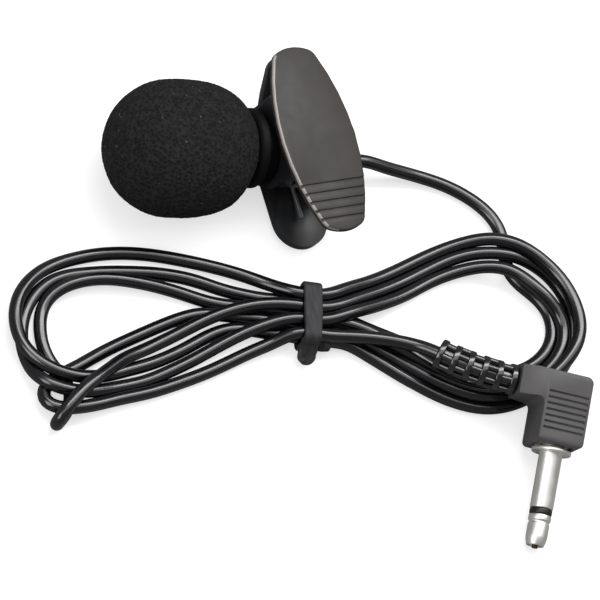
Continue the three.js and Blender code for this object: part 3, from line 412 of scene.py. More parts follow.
# Natural-rubber band: dull, its colour lighter and darker in streaks drawn out along its length.
TIE_RUBBER = Finish(
    "streaked_rubber",
    "#2c2c2e",
    0.6,
    shine=0.25,
    mottle=0.45,
    mottle_mm=0.7,
    grain_mm=0.3,
    relief_mm=0.02,
    stretch=(1.0, 5.0, 5.0),
)
# EPDM boot and bush: matt black.
BUSH_RUBBER = Finish("matt_epdm", "#0c0c0e", 0.75)
# Bright nickel plate over turned brass: nearly white, with very fine turning marks.
NICKEL = Finish(
    "bright_nickel_plate",
    "#f8f6f1",
    0.4,
    metallic=1.0,
    mottle=0.02,
    grain_mm=0.15,
    relief_mm=0.002,
    gloss_spread=0.05,
)
# Drawn spring-steel wire: bright grey, with faint draw marks.
SPRING_STEEL = Finish("drawn_spring_steel", "#dcdcde", 0.38, metallic=1.0, relief_mm=0.003)
# Deep-drawn aluminium of the capsule and grille: satin, pale.
CAN_ALUMINIUM = Finish("drawn_aluminium", "#b9bbbd", 0.4, metallic=1.0)
# Turned and stamped brass: warm yellow, fairly bright.
BRASS = Finish("stamped_brass", "#b8964c", 0.32, metallic=1.0)
# The same brass painted dark brown: painted shade on the rod's end, deep in the tip's mouth.
BRASS_PAINTED_SHADE = Finish("brass_painted_shade", "#5a4424", 0.5, metallic=1.0)
# Bare annealed copper strands: salmon pink, unevenly bright.
COPPER = Finish("bare_copper_strand", "#b87350", 0.35, metallic=1.0, relief_mm=0.02)
# Tin solder, dull where it froze.
SOLDER = Finish("dull_tin_solder", "#a7a8aa", 0.48, metallic=1.0, relief_mm=0.02)
# Wool felt disc: matt, with a coarse lie of fibres.
FELT = Finish("black_wool_felt", "#242426", 0.95, grain_mm=0.12, relief_mm=0.05)
# Inner mouldings in cream and in black ABS, as they leave a polished tool.
CREAM_ABS = Finish("cream_moulded_abs", "#e0d8c4", 0.45)
BLACK_ABS = Finish("black_moulded_abs", "#121214", 0.35)
# Glass-epoxy board under green solder resist, which is glossy and even.
BOARD_RESIST = Finish("green_solder_resist", "#2c5c3c", 0.35)
# Open-cell windscreen foam: it swallows light, and its pores show as a fine speckle of painted
# shade.
WINDSCREEN_FOAM = FoamFinish("open_cell_foam", "#1f1f20", 0.95)


# ---------------------------------------------------------------- mesh helpers

# Edges whose faces meet at more than this, in degrees, stay sharp on each kind of piece.
MOULDED_SHARP = 32.0
TURNED_SHARP = 40.0
SWEPT_SHARP = 50.0
# Edges of a CAD node are rounded from this angle on.
ROUNDED_FROM = 38.0
# Points of a CAD node nearer than this become one, and faces that are flatter to each other.
MERGED_GAP = 0.002
FLAT_ANGLE = 0.6
# Samples of a smooth curve between two of the points that it passes.
CURVE_STEPS = 12


def linked(name: str, data: bpy.types.ID) -> Object:
    """Makes an object of a mesh, lamp or camera and links it into the scene."""
    made = bpy.data.objects.new(name, data)
    bpy.context.scene.collection.objects.link(made)
    return made


def raw_mesh(
    name: str, points: np.ndarray, edges: list[tuple[int, int]], faces: Faces
) -> bpy.types.Mesh:
    """Makes a mesh from points in millimetres, with its edges or its faces."""
    mesh = bpy.data.meshes.new(name)
    mesh.from_pydata([tuple(p) for p in np.asarray(points) * MM], edges, faces)
    return mesh


def mesh_object(name: str, points: np.ndarray, faces: Faces, finish: Finish) -> Object:
    """Makes a smooth object at the origin from points in millimetres.

    Args:
        name: the object's name.
        points: n by 3 array in the part's frame.
        faces: corner indices of each face, outward side anticlockwise.
        finish: what it is dressed in.

    Returns:
        The linked object.
    """
    mesh = raw_mesh(name, points, [], faces)
    mesh.validate()
    mesh.polygons.foreach_set("use_smooth", [True] * len(mesh.polygons))
    mesh.materials.append(finish.material())
    return linked(name, mesh)


def bmesh_object(name: str, made: bmesh.types.BMesh, finish: Finish) -> Object:
    """Makes a dressed object of a bmesh in metres, and frees the bmesh."""
    mesh = bpy.data.meshes.new(name)
    made.to_mesh(mesh)
    made.free()
    mesh.materials.append(finish.material())
    return linked(name, mesh)


def settled_mesh(obj: Object) -> None:
    """Applies an object's modifiers, so that it keeps a plain mesh and none of them."""
    bpy.context.view_layer.update()
    seen = obj.evaluated_get(bpy.context.evaluated_depsgraph_get())
    shape = bpy.data.meshes.new_from_object(seen)
    obj.modifiers.clear()
    obj.data = shape


def keep_edges(obj: Object, degrees: float) -> None:
    """Shades an object smooth, but for edges whose faces meet at more than the angle."""
    made = bmesh.new()
    made.from_mesh(obj.data)
    bmesh.ops.recalc_face_normals(made, faces=made.faces)
    sharp = math.radians(degrees)
    for edge in made.edges:
        edge.smooth = len(edge.link_faces) == 2 and edge.calc_face_angle(0.0) < sharp
    for face in made.faces:
        face.smooth = True
    made.to_mesh(obj.data)
    made.free()


def soften(obj: Object, width: float) -> Object:
    """Rounds an object's sharp edges as a mould does.

    Args:
        obj: the object; its mesh is merged.
        width: how wide the rounding is.

    Returns:
        The same object, its modifier applied.
    """
    bevel = obj.modifiers.new("round", "BEVEL")
    bevel.width = width * MM
    bevel.segments = 2
    bevel.limit_method = "ANGLE"
    bevel.angle_limit = math.radians(ROUNDED_FROM)
    bevel.use_clamp_overlap = True
    bevel.harden_normals = False
    settled_mesh(obj)
    keep_edges(obj, MOULDED_SHARP)
    return obj


def recast(name: str, source: Object, finish: Finish, width: float) -> Object:
    """Makes a merged copy of a CAD node with softened edges.

    Args:
        name: the new object's name.
        source: the node's object.
        finish: what the copy is dressed in.
        width: how wide the rounding of its edges is.

    Returns:
        The linked copy.
    """
    least, flat = MERGED_GAP * MM, math.radians(FLAT_ANGLE)
    made = bmesh.new()
    made.from_mesh(source.data)
    made.transform(source.matrix_world)
    bmesh.ops.remove_doubles(made, verts=made.verts, dist=least)
    bmesh.ops.dissolve_degenerate(made, edges=made.edges, dist=least)
    bmesh.ops.dissolve_limit(made, angle_limit=flat, verts=made.verts, edges=made.edges)
    return soften(bmesh_object(name, made, finish), width)


def path_frames(path: np.ndarray) -> tuple[np.ndarray, np.ndarray]:
    """Gives two crosswise directions along a path, without twist.

    Args:
        path: n by 3 array of points.

    Returns:
        The first and the second crosswise directions, each n by 3.
    """
    along = np.gradient(path, axis=0)
    along /= np.linalg.norm(along, axis=1, keepdims=True)
    side = np.zeros_like(along)
    start = np.cross(along[0], (0.0, 0.0, 1.0))
    side[0] = start / np.linalg.norm(start)
    for i in range(1, len(path)):
        turned = side[i - 1] - along[i] * np.dot(side[i - 1], along[i])
        side[i] = turned / np.linalg.norm(turned)
    return side, np.cross(along, side)


def ring_faces(rings: int, sides: int, joined: bool = False) -> Faces:
    """Gives the faces of a tube of rings, closed by an end face or joined end to end."""
    faces = []
    for i in range(rings if joined else rings - 1):
        low, high = i * sides, (i + 1) % rings * sides
        for k in range(sides):
            nxt = (k + 1) % sides
            faces.append((low + k, low + nxt, high + nxt, high + k))
    if not joined:
        last = (rings - 1) * sides
        faces.append(tuple(reversed(range(sides))))
        faces.append(tuple(range(last, last + sides)))
    return faces


def tube_mesh(path: np.ndarray, radius: float, sides: int) -> tuple[np.ndarray, Faces]:
    """Makes a closed round tube about a path.

    Args:
        path: n by 3 array, the middle of each ring.
        radius: the tube's radius.
        sides: points in each ring.

    Returns:
        Points and faces.
    """
    side, up = path_frames(path)
    angles = (2 * np.pi * np.arange(sides) / sides)[None, :, None]
    around = np.cos(angles) * side[:, None] + np.sin(angles) * up[:, None]
    points = (path[:, None] + radius * around).reshape(-1, 3)
    return points, ring_faces(len(path), sides)


def lathe(
    name: str, frame: np.ndarray, profile: Profile, finish: Finish, sides: int = 64
) -> Object:
    """Turns a profile about its frame's x axis.

    Args:
        name: the object's name.
        frame: the frame whose x axis it turns about.
        profile: corners of x and radius, from the low end to the high one, or once round.
        finish: what it is dressed in.
        sides: points in each ring.

    Returns:
        The linked object, its poles closed.
    """
    made = bmesh.new()
    turns = [(math.cos(a), math.sin(a)) for a in (2 * math.pi * k / sides for k in range(sides))]
    rings = []
    for x, radius in profile:
        spots = turns if radius > 1e-6 else [(0.0, 0.0)]
        rings.append([made.verts.new((x, radius * y, radius * z)) for y, z in spots])
    for low, high in zip(rings, rings[1:]):
        for k in range(sides):
            near, far = k, (k + 1) % sides
            quad = ((low, near), (high, near), (high, far), (low, far))
            made.faces.new(list(dict.fromkeys(ring[i % len(ring)] for ring, i in quad)))
    made.transform(Matrix(frame))
    made.transform(Matrix.Scale(MM, 4))
    obj = bmesh_object(name, made, finish)
    keep_edges(obj, TURNED_SHARP)
    return obj


def rounded(profile: Profile, size: float, steps: int = 3) -> Profile:
    """Rounds a profile's inner corners.

    Args:
        profile: corners of x and radius.
        size: how far from each corner the rounding starts, where its sides are long enough.
        steps: segments of each rounding.

    Returns:
        The finer profile.
    """
    made = [profile[0]]
    for before, here, after in zip(profile, profile[1:], profile[2:]):
        a, b, c = (np.array(p, float) for p in (before, here, after))
        # Two roundings on one side never meet.
        reach = min(size, 0.45 * np.linalg.norm(a - b), 0.45 * np.linalg.norm(c - b))
        start = b + (a - b) / np.linalg.norm(a - b) * reach
        end = b + (c - b) / np.linalg.norm(c - b) * reach
        for i in range(steps + 1):
            t = i / steps
            made.append(tuple((1 - t) ** 2 * start + 2 * t * (1 - t) * b + t**2 * end))
    return [*made, profile[-1]]


def rounded_box(
    low: tuple[float, float], high: tuple[float, float], corner: float, steps: int
) -> Profile:
    """Gives a rounded rectangle's points, anticlockwise from its right side.

    Args:
        low: its lowest first and second coordinate.
        high: its highest ones.
        corner: the radius of its corners.
        steps: points on each corner.

    Returns:
        The points.
    """
    left, right = low[0] + corner, high[0] - corner
    bottom, top = low[1] + corner, high[1] - corner
    made = []
    middles = ((right, top), (left, top), (left, bottom), (right, bottom))
    for start, (u, v) in zip((0, 90, 180, 270), middles):
        for angle in np.radians(np.linspace(start, start + 90, steps)):
            made.append((u + corner * math.cos(angle), v + corner * math.sin(angle)))
    return made


def smooth_path(points: np.ndarray, step: float) -> np.ndarray:
    """Runs a Catmull-Rom curve through points and samples it evenly.

    Args:
        points: n by 3 array that the curve passes through.
        step: wanted distance between samples.

    Returns:
        m by 3 array of samples.
    """
    ends = np.vstack([2 * points[0] - points[1], points, 2 * points[-1] - points[-2]])
    share = np.linspace(0, 1, CURVE_STEPS, endpoint=False)[:, None]
    pieces = []
    for a, b, c, d in zip(ends, ends[1:], ends[2:], ends[3:]):
        square = (2 * a - 5 * b + 4 * c - d) * share**2
        cube = (3 * b - 3 * c + d - a) * share**3
        pieces.append(0.5 * (2 * b + (c - a) * share + square + cube))
    return evenly(np.vstack([*pieces, points[-1:]]), step)


def evenly(points: np.ndarray, step: float) -> np.ndarray:
    """Samples a polyline at equal distances of about step."""
    lengths = np.concatenate([[0], np.cumsum(np.linalg.norm(np.diff(points, axis=0), axis=1))])
    wanted = np.linspace(0, lengths[-1], max(2, round(lengths[-1] / step) + 1))
    return np.stack([np.interp(wanted, lengths, points[:, i]) for i in range(3)], axis=1)


def hand_over(piece: Object, body: Body, slot: str, *nodes: str) -> Object:
    """Attaches a piece to the body that it rides on and hides the nodes that it stands for."""
    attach(piece, body.value)
    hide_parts(*nodes)
    LOG.info("%s: %d faces, rides %s", piece.name, len(piece.data.polygons), body.value)
    return piece


# ---------------------------------------------------------------- geometry node trees


class NodeForm:
    """A Geometry Nodes tree under construction, and the way to make a plain mesh with it."""

    def __init__(self, name: str, sizes: dict[str, float]) -> None:
        """Starts a tree with one named input for each size.

        Args:
            name: the tree's name.
            sizes: input name to value; whole numbers become integer inputs.
        """
        self.tree = bpy.data.node_groups.new(name, "GeometryNodeTree")
        self.sizes = sizes
        face = self.tree.interface
        face.new_socket("Path", in_out="INPUT", socket_type="NodeSocketGeometry")
        for label, value in sizes.items():
            kind = "NodeSocketInt" if isinstance(value, int) else "NodeSocketFloat"
            face.new_socket(label, in_out="INPUT", socket_type=kind)
        face.new_socket("Mesh", in_out="OUTPUT", socket_type="NodeSocketGeometry")
        self.size = add_node(self.tree, "NodeGroupInput").outputs

    def add(self, kind: str, inputs: dict | None = None, **settings: object) -> bpy.types.Node:
        """Adds a node to the tree, as add_node does."""
        return add_node(self.tree, kind, inputs, **settings)

    def sums(self, operation: str, *values: float | Socket) -> Socket:
        """Adds a math node to the tree, as add_math does."""
        return add_math(self.tree, operation, *values)

    def line(self) -> Socket:
        """Gives the path as a curve."""
        return self.add("GeometryNodeMeshToCurve", {"Mesh": self.size["Path"]}).outputs[0]

    def swept(self, line: Socket, radius: Socket, sides: int | Socket) -> Socket:
        """Gives a round rod along a line, its ends closed."""
        rim = self.add("GeometryNodeCurvePrimitiveCircle", {"Radius": radius, "Resolution": sides})
        inputs = {"Curve": line, "Profile Curve": rim.outputs[0], "Fill Caps": True}
        return self.add("GeometryNodeCurveToMesh", inputs).outputs[0]

    def turned(self, angle: Socket) -> Socket:
        """Gives the rotation about z by an angle."""
        inputs = {"Axis": (0, 0, 1), "Angle": angle}
        return self.add("FunctionNodeAxisAngleToRotation", inputs).outputs[0]

    def instances(
        self, points: Socket, shape: Socket, rotation: Socket, **chosen: Socket
    ) -> Socket:
        """Sets a shape on each point, or on those that Selection chooses."""
        inputs = {"Points": points, "Instance": shape, "Rotation": rotation, **chosen}
        return self.add("GeometryNodeInstanceOnPoints", inputs).outputs[0]

    def finish(self, shape: Socket, finish: Finish) -> None:
        """Ends the tree in Realize Instances and Set Material."""
        real = self.add("GeometryNodeRealizeInstances", {"Geometry": shape})
        smooth = self.add("GeometryNodeSetShadeSmooth", {"Geometry": real.outputs[0]})
        inputs = {"Geometry": smooth.outputs[0], "Material": finish.material()}
        dressed = self.add("GeometryNodeSetMaterial", inputs)
        self.add("NodeGroupOutput", {"Mesh": dressed.outputs[0]})

    def cast(self, name: str, path: np.ndarray) -> Object:
        """Runs the tree along a path and gives the plain mesh it makes.

        Args:
            name: the new object's name.
            path: n by 3 array of the path's points in millimetres.

        Returns:
            The linked object, its modifier removed.
        """
        edges = [(i, i + 1) for i in range(len(path) - 1)]
        obj = linked(name, raw_mesh(name, path, edges, []))
        modifier = obj.modifiers.new("form", "NODES")
        modifier.node_group = self.tree
        for socket in self.tree.interface.items_tree:
            if socket.in_out == "INPUT" and socket.name in self.sizes:
                modifier[socket.identifier] = self.sizes[socket.name]
        settled_mesh(obj)
        keep_edges(obj, SWEPT_SHARP)
        return obj


# ---------------------------------------------------------------- camera and studio


def facing(place: Vector, right: Vector, up: Vector, back: Vector) -> Matrix:
    """Gives the matrix of a lamp or camera at a place in millimetres, with these axes."""
    turned = Matrix((right, up, back)).transposed()
    return Matrix.Translation(place * MM) @ turned.to_4x4()


@dataclass(frozen=True)
class Lamp:
    """A soft box that faces the part's middle, its first side along the scene's x."""

    name: str
    towards: Spot
    distance: float
    sides: tuple[float, float]
    watts: float

    def hang(self, aim: Vector) -> None:
        """Adds the lamp to the scene, facing aim."""
        data = bpy.data.lights.new(self.name, "AREA")
        data.shape = "RECTANGLE"
        data.size, data.size_y = self.sides[0] * MM, self.sides[1] * MM
        data.energy = self.watts
        out = Vector(self.towards).normalized()
        first = (Vector((1, 0, 0)) - out * out.x).normalized()
        place = aim + out * self.distance
        linked(self.name, data).matrix_world = facing(place, first, out.cross(first), out)


@dataclass
class Studio:
    """The camera, the lamps and the pale floor.

    The camera lies towards the given way from its aim, which is the target moved by shift to the
    right and up, and field is how wide a square it sees there. The room and the floor are paler
    to the camera than to the light that dull and glossy surfaces take from them.
    """

    target: Spot = MIC_PLACE
    right: Spot = (0.935, -0.187, 0.302)
    towards: Spot = (-0.351, -0.364, 0.863)
    shift: tuple[float, float] = (0.64, -22.5)
    field: float = 89.6
    distance: float = 900.0
    middle: Spot = (10.0, -15.0, 4.0)
    lamps: tuple[Lamp, ...] = (
        Lamp("key_strip", (0.24, 0.34, 0.91), 650, (800, 230), 4.0),
        Lamp("overhead_strip", (0.0, -0.08, 1.0), 640, (2000, 260), 2.8),
        Lamp("left_softbox", (-0.78, -0.3, 0.55), 700, (320, 320), 1.3),
        Lamp("rim_softbox", (0.75, 0.45, 0.5), 600, (160, 160), 0.15),
    )
    white: float = 1.0
    bounced: float = 0.3
    mirrored: float = 0.22
    floor_half: float = 1500.0
    floor_top: float = -0.05
    floor_tone: float = 0.5
    floor_tone_mirrored: float = 0.2
    floor_lift: float = 0.62

    def add_camera(self) -> None:
        """Makes the camera and puts it into the scene."""
        back = Vector(self.towards).normalized()
        right = Vector(self.right)
        right = (right - back * right.dot(back)).normalized()
        up = back.cross(right)
        aim = Vector(self.target) + right * self.shift[0] + up * self.shift[1]
        data = bpy.data.cameras.new("camera")
        data.angle = 2 * math.atan(self.field / 2 / self.distance)
        data.clip_end = 20
        camera = linked("camera", data)
        camera.matrix_world = facing(aim + back * self.distance, right, up, back)
        bpy.context.scene.camera = camera

    def add_world(self) -> None:
        """Lights the part evenly from a pale room that shows as white."""
        world = bpy.data.worlds.new("pale_room")
        tree = bare_tree(world)
        rays = add_node(tree, "ShaderNodeLightPath").outputs
        seen = add_math(tree, "MAXIMUM", rays["Is Camera Ray"], rays["Is Transmission Ray"])
        room = add_range(tree, rays["Is Glossy Ray"], (self.bounced, self.mirrored))
        strength = add_range(tree, seen, (room, self.white))
        inputs = {"Strength": strength, "Color": (1, 1, 1, 1)}
        light = add_node(tree, "ShaderNodeBackground", inputs)
        add_node(tree, "ShaderNodeOutputWorld", {"Surface": light.outputs[0]})
        bpy.context.scene.world = world

    def add_floor(self) -> None:
        """Adds the white floor, which keeps the part's soft shadow."""
        made = bpy.data.materials.new("white_table")
        tree = bare_tree(made)
        rays = add_node(tree, "ShaderNodeLightPath").outputs
        tones = (self.floor_tone, self.floor_tone_mirrored)
        tone = add_range(tree, rays["Is Glossy Ray"], tones)
        lift = add_range(tree, rays["Is Camera Ray"], (0.0, self.floor_lift))
        paint = add_node(tree, "ShaderNodeBsdfDiffuse", {"Color": tone})
        glow = add_node(tree, "ShaderNodeEmission", {"Strength": lift})
        both = add_node(tree, "ShaderNodeAddShader", {0: paint.outputs[0], 1: glow.outputs[0]})
        add_node(tree, "ShaderNodeOutputMaterial", {"Surface": both.outputs[0]})
        corners = np.array([(-1, -1, 0), (1, -1, 0), (1, 1, 0), (-1, 1, 0)]) * self.floor_half
        mesh = raw_mesh("table", corners + (0, 0, self.floor_top), [], [(0, 1, 2, 3)])
        mesh.materials.append(made)
        linked("table", mesh)

    def build(self) -> None:
        """Makes everything that isn't the part."""
        self.add_camera()
        self.add_world()
        self.add_floor()
        for lamp in self.lamps:
            lamp.hang(Vector(self.middle))
        bpy.context.scene.view_settings.view_transform = "Standard"


# ---------------------------------------------------------------- cable


@dataclass(frozen=True)
class Crossing:
    """One pass of the cable through the tie.

    Place is how far from the tie's middle it lies, across the strands, and heading is +1 where
    the cable runs towards +X there.
    """

    place: float
    layer: Layer
    heading: int

    def points(self, reach: float) -> list[np.ndarray]:
        """Gives the points at which the cable goes under the tie and comes out of it."""
        middle = np.array((*TIE_PLACE, self.layer.value)) + ACROSS_WAIST * self.place
        out = ALONG_WAIST * reach * self.heading
        return [middle - out, middle + out]


@dataclass(frozen=True)
class Run:
    """A stretch of the cable: points it passes, then the crossing of the tie that follows it."""

    points: tuple[Spot, ...]
    crossing: Crossing | None = None


# The cable from the microphone to the plug.
CABLE_RUNS = (
    # Microphone end.
    Run(
        (
            (24.6, -0.2, 3.75), (28.2, -0.7, 2.55), (31.2, -1.3, 1.7), (33.7, -2, 1.3),
            (36.4, -3.1, 1), (38.7, -4.6, 1), (40.6, -6.2, 1), (42.2, -8.1, 1), (43.2, -10.3, 1),
            (43.5, -12.7, 1), (43.3, -15, 1), (43.4, -17.2, 1), (44.1, -19, 1), (45.7, -20.8, 1),
            (47.4, -22.8, 1), (48.4, -25, 1), (48.5, -27.4, 1), (47.7, -29.6, 1), (46.1, -31.5, 1),
            (44, -33, 1), (41.3, -34, 1), (38.3, -34.5, 1), (35.1, -34.3, 1), (32.1, -33.4, 1),
            (29.1, -32, 1), (26.3, -30.4, 1), (23.4, -28.7, 1), (20.2, -26.9, 1.2),
            (16.9, -25.1, 1.5), (14.3, -23.5, 1.6),
        ),
        Crossing(3.2, Layer.LOWER, -1),
    ),
    # Left loop, low.
    Run(
        (
            (3.5, -20.4, 1.2), (-0.2, -19.2, 1), (-3.1, -18.1, 1), (-6, -16.7, 1),
            (-8.9, -15.7, 1), (-12, -15, 1), (-15, -14.6, 1), (-18.1, -14.4, 1), (-21.2, -14.3, 1),
            (-24.4, -14.5, 1), (-26.9, -14.7, 1), (-29.4, -15.7, 1), (-31.6, -17.3, 1),
            (-33.3, -19.2, 1), (-34.5, -21.7, 1), (-35.1, -24.1, 1), (-35, -26.3, 1),
            (-34.7, -28.5, 1.4), (-34.1, -30.6, 2.2), (-32.7, -32.2, 2.9), (-30.8, -33.2, 3),
            (-28.4, -33.7, 3), (-25.2, -33.7, 2.4), (-21.8, -33.1, 1.6), (-17.6, -32.3, 1.2),
            (-13.9, -30.9, 1.2), (-10.1, -29.4, 1.4), (-6, -27.6, 1.7), (-1.9, -26, 2.2),
            (2.1, -24.9, 2.9),
        ),
        Crossing(-0.5, Layer.UPPER, 1),
    ),
    # Right loop, inside.
    Run(
        (
            (14.8, -24.3, 3.2), (19.5, -22.9, 2.4), (25, -20.9, 1.5), (30.2, -18.5, 1.1),
            (34.5, -17.4, 1.5), (38, -17.2, 2.4), (40.7, -17.7, 3), (43, -18.5, 3), (45, -20.5, 3),
            (47, -22.7, 2.6), (48.5, -24.7, 1.8), (49.4, -26.8, 1.1), (49.4, -29.2, 1),
            (48.7, -31.5, 1), (47.3, -33.5, 1), (45.1, -35.2, 1), (42.5, -36.2, 1),
            (39.5, -36.5, 1), (36.3, -36.2, 1), (33.3, -35.4, 1), (30.3, -34, 1), (27.5, -32.2, 1),
            (24.6, -30.3, 1.1), (21.7, -28.6, 1.4), (18.4, -26.8, 1.7), (15.5, -25.3, 1.8),
        ),
        Crossing(1, Layer.LOWER, -1),
    ),
    # Left loop, inside, to the fold and back over the others.
    Run(
        (
            (2.7, -21.9, 1.3), (-1.1, -21.4, 1.1), (-4.4, -20.7, 1), (-7.3, -19.3, 1),
            (-9.8, -18.2, 1.3), (-12.4, -17.4, 1.9), (-14.9, -16.7, 2.3), (-17.3, -16.2, 2.6),
            (-19.8, -15.8, 2.8), (-22.3, -15.6, 2.8), (-24.7, -15.8, 2.6), (-26.9, -16.2, 2.3),
            (-28.8, -17.1, 1.9), (-30.3, -18.2, 1.4), (-31.2, -19.6, 1), (-31.7, -21.3, 1),
            (-32, -23.3, 1), (-32, -25.4, 1), (-31.6, -27.2, 1), (-31, -28.8, 1),
            (-30.1, -30.5, 1), (-29.4, -31.9, 1), (-29.2, -33.4, 1), (-29.7, -34.8, 1),
            (-30.5, -35.9, 1), (-31.4, -36.9, 1), (-32.2, -37.8, 1.5), (-32.8, -38.4, 2.9),
            (-32.8, -38.3, 4), (-32.1, -37.5, 4.7), (-30.9, -36.3, 5), (-29.4, -34.9, 5.2),
            (-27.6, -33.4, 5.2), (-25.6, -32.1, 4.9), (-23.3, -30.6, 4.3), (-20.6, -28.8, 3.5),
            (-17.7, -27.6, 2.9), (-14.6, -26.3, 2.6), (-11.2, -25, 2.7), (-7.4, -23.5, 2.9),
            (-3, -22.3, 3.2), (2, -21.7, 3.5),
        ),
        Crossing(1.65, Layer.UPPER, 1),
    ),
    # Right loop, second.
    Run(
        (
            (15.2, -22.1, 3.2), (19.1, -20.8, 2.4), (23.2, -19.3, 1.6), (27.3, -17.7, 1.1),
            (31.4, -16, 1), (35, -15, 1.5), (38.5, -14.8, 2.4), (41.7, -15.2, 3),
            (44.9, -15.9, 2.8), (47.9, -17.4, 2), (50, -19.3, 1.3), (51.2, -21.7, 1),
            (51.8, -24.4, 1), (51.6, -27, 1), (50.8, -29.5, 1), (49.3, -31.9, 1), (47.2, -34, 1),
            (44.7, -35.8, 1), (41.8, -37.3, 1), (38.4, -38.4, 1), (35.1, -38.9, 1),
            (31.7, -38.3, 1), (28.3, -36.7, 1), (25.4, -34.6, 1), (22.6, -32.5, 1),
            (20.2, -30.4, 1), (17.6, -28.5, 1.1), (14.8, -27, 1.4),
        ),
        Crossing(-2.6, Layer.LOWER, -1),
    ),
    # Left loop, round the outside.
    Run(
        (
            (2, -25.2, 1.4), (-1.6, -24.4, 1.2), (-5.7, -25.1, 1), (-11.2, -27.5, 1),
            (-16.2, -29.2, 1), (-20.4, -30.1, 1.4), (-23.9, -31, 2.2), (-26.7, -31.3, 2.9),
            (-29.2, -31.1, 3), (-31.2, -30.4, 3), (-33, -29.3, 3), (-34.4, -28, 3),
            (-35.4, -26.4, 3), (-36, -24.4, 3), (-36.1, -22.4, 3), (-35.8, -20.3, 3),
            (-35, -18.3, 3), (-33.7, -16.5, 2.8), (-31.9, -14.8, 2.4), (-29.7, -13.4, 1.9),
            (-27.2, -12.4, 1.4), (-24.2, -11.7, 1.1), (-21, -11.3, 1), (-17.5, -11.3, 1),
            (-13.7, -11.7, 1), (-9.9, -12.5, 1), (-6.2, -13.5, 1), (-2.4, -14.7, 1),
            (1.2, -16.2, 1.2), (4.2, -18, 1.9), (6.4, -19.4, 2.8),
        ),
        Crossing(3.7, Layer.UPPER, 1),
    ),
    # Right loop, outside.
    Run(
        (
            (15.8, -19.8, 3), (19.1, -18.9, 2.2), (22.8, -17.7, 1.5), (26.4, -16.4, 1.1),
            (30.5, -14.8, 1), (34.3, -13.5, 1.2), (37.4, -13, 1.9), (40.3, -13.1, 2.7),
            (43, -14, 3), (45.8, -15.5, 2.8), (48.5, -17.7, 2.6), (50.5, -20.4, 2.8),
            (51.6, -23.5, 3), (52, -26.5, 3), (51.6, -29.1, 3), (50.3, -31.5, 2.8),
            (48.8, -33.2, 2.4), (46.8, -34.9, 2), (44.2, -36.6, 2), (41.2, -37.8, 2.3),
            (37.9, -38.4, 2.6), (34.9, -38.4, 2.8), (32.1, -37.7, 2.8), (29.6, -36.5, 2.6),
            (27.1, -34.9, 2.4), (24.7, -33, 2.2), (22.2, -31.1, 2.1), (19.7, -29.3, 2),
            (17.2, -27.7, 1.9), (14.8, -26.5, 1.8),
        ),
        Crossing(-1, Layer.LOWER, -1),
    ),
    # Left loop, under, to the small turn.
    Run(
        (
            (2.5, -22.9, 1.4), (-1.6, -22.1, 1.2), (-5, -21.5, 1), (-8.5, -21.8, 1),
            (-13, -23.1, 1), (-17.7, -24.8, 1), (-21.6, -26.3, 1), (-25.3, -28, 1),
            (-28, -29.4, 1), (-30.4, -30.5, 1), (-32.4, -31.4, 1), (-33.4, -32.5, 1),
            (-33.7, -33.8, 1), (-33.2, -35, 1), (-31.6, -35.7, 1), (-29, -35.8, 1),
            (-26.3, -35.4, 1), (-22.6, -34.4, 1), (-17.8, -33.6, 1), (-13, -32.6, 1),
            (-8, -31.2, 1), (-3.4, -29.5, 1), (0.9, -27.9, 1.2), (4.3, -27, 2),
        ),
        Crossing(-2.8, Layer.UPPER, 1),
    ),
    # Plug end.
    Run(
        (
            (14, -27.6, 3.6), (16.5, -28, 3.8), (19.5, -28.6, 4.1), (22.4, -29.5, 4.5),
            (24.9, -30.6, 5),
        ),
    ),
)


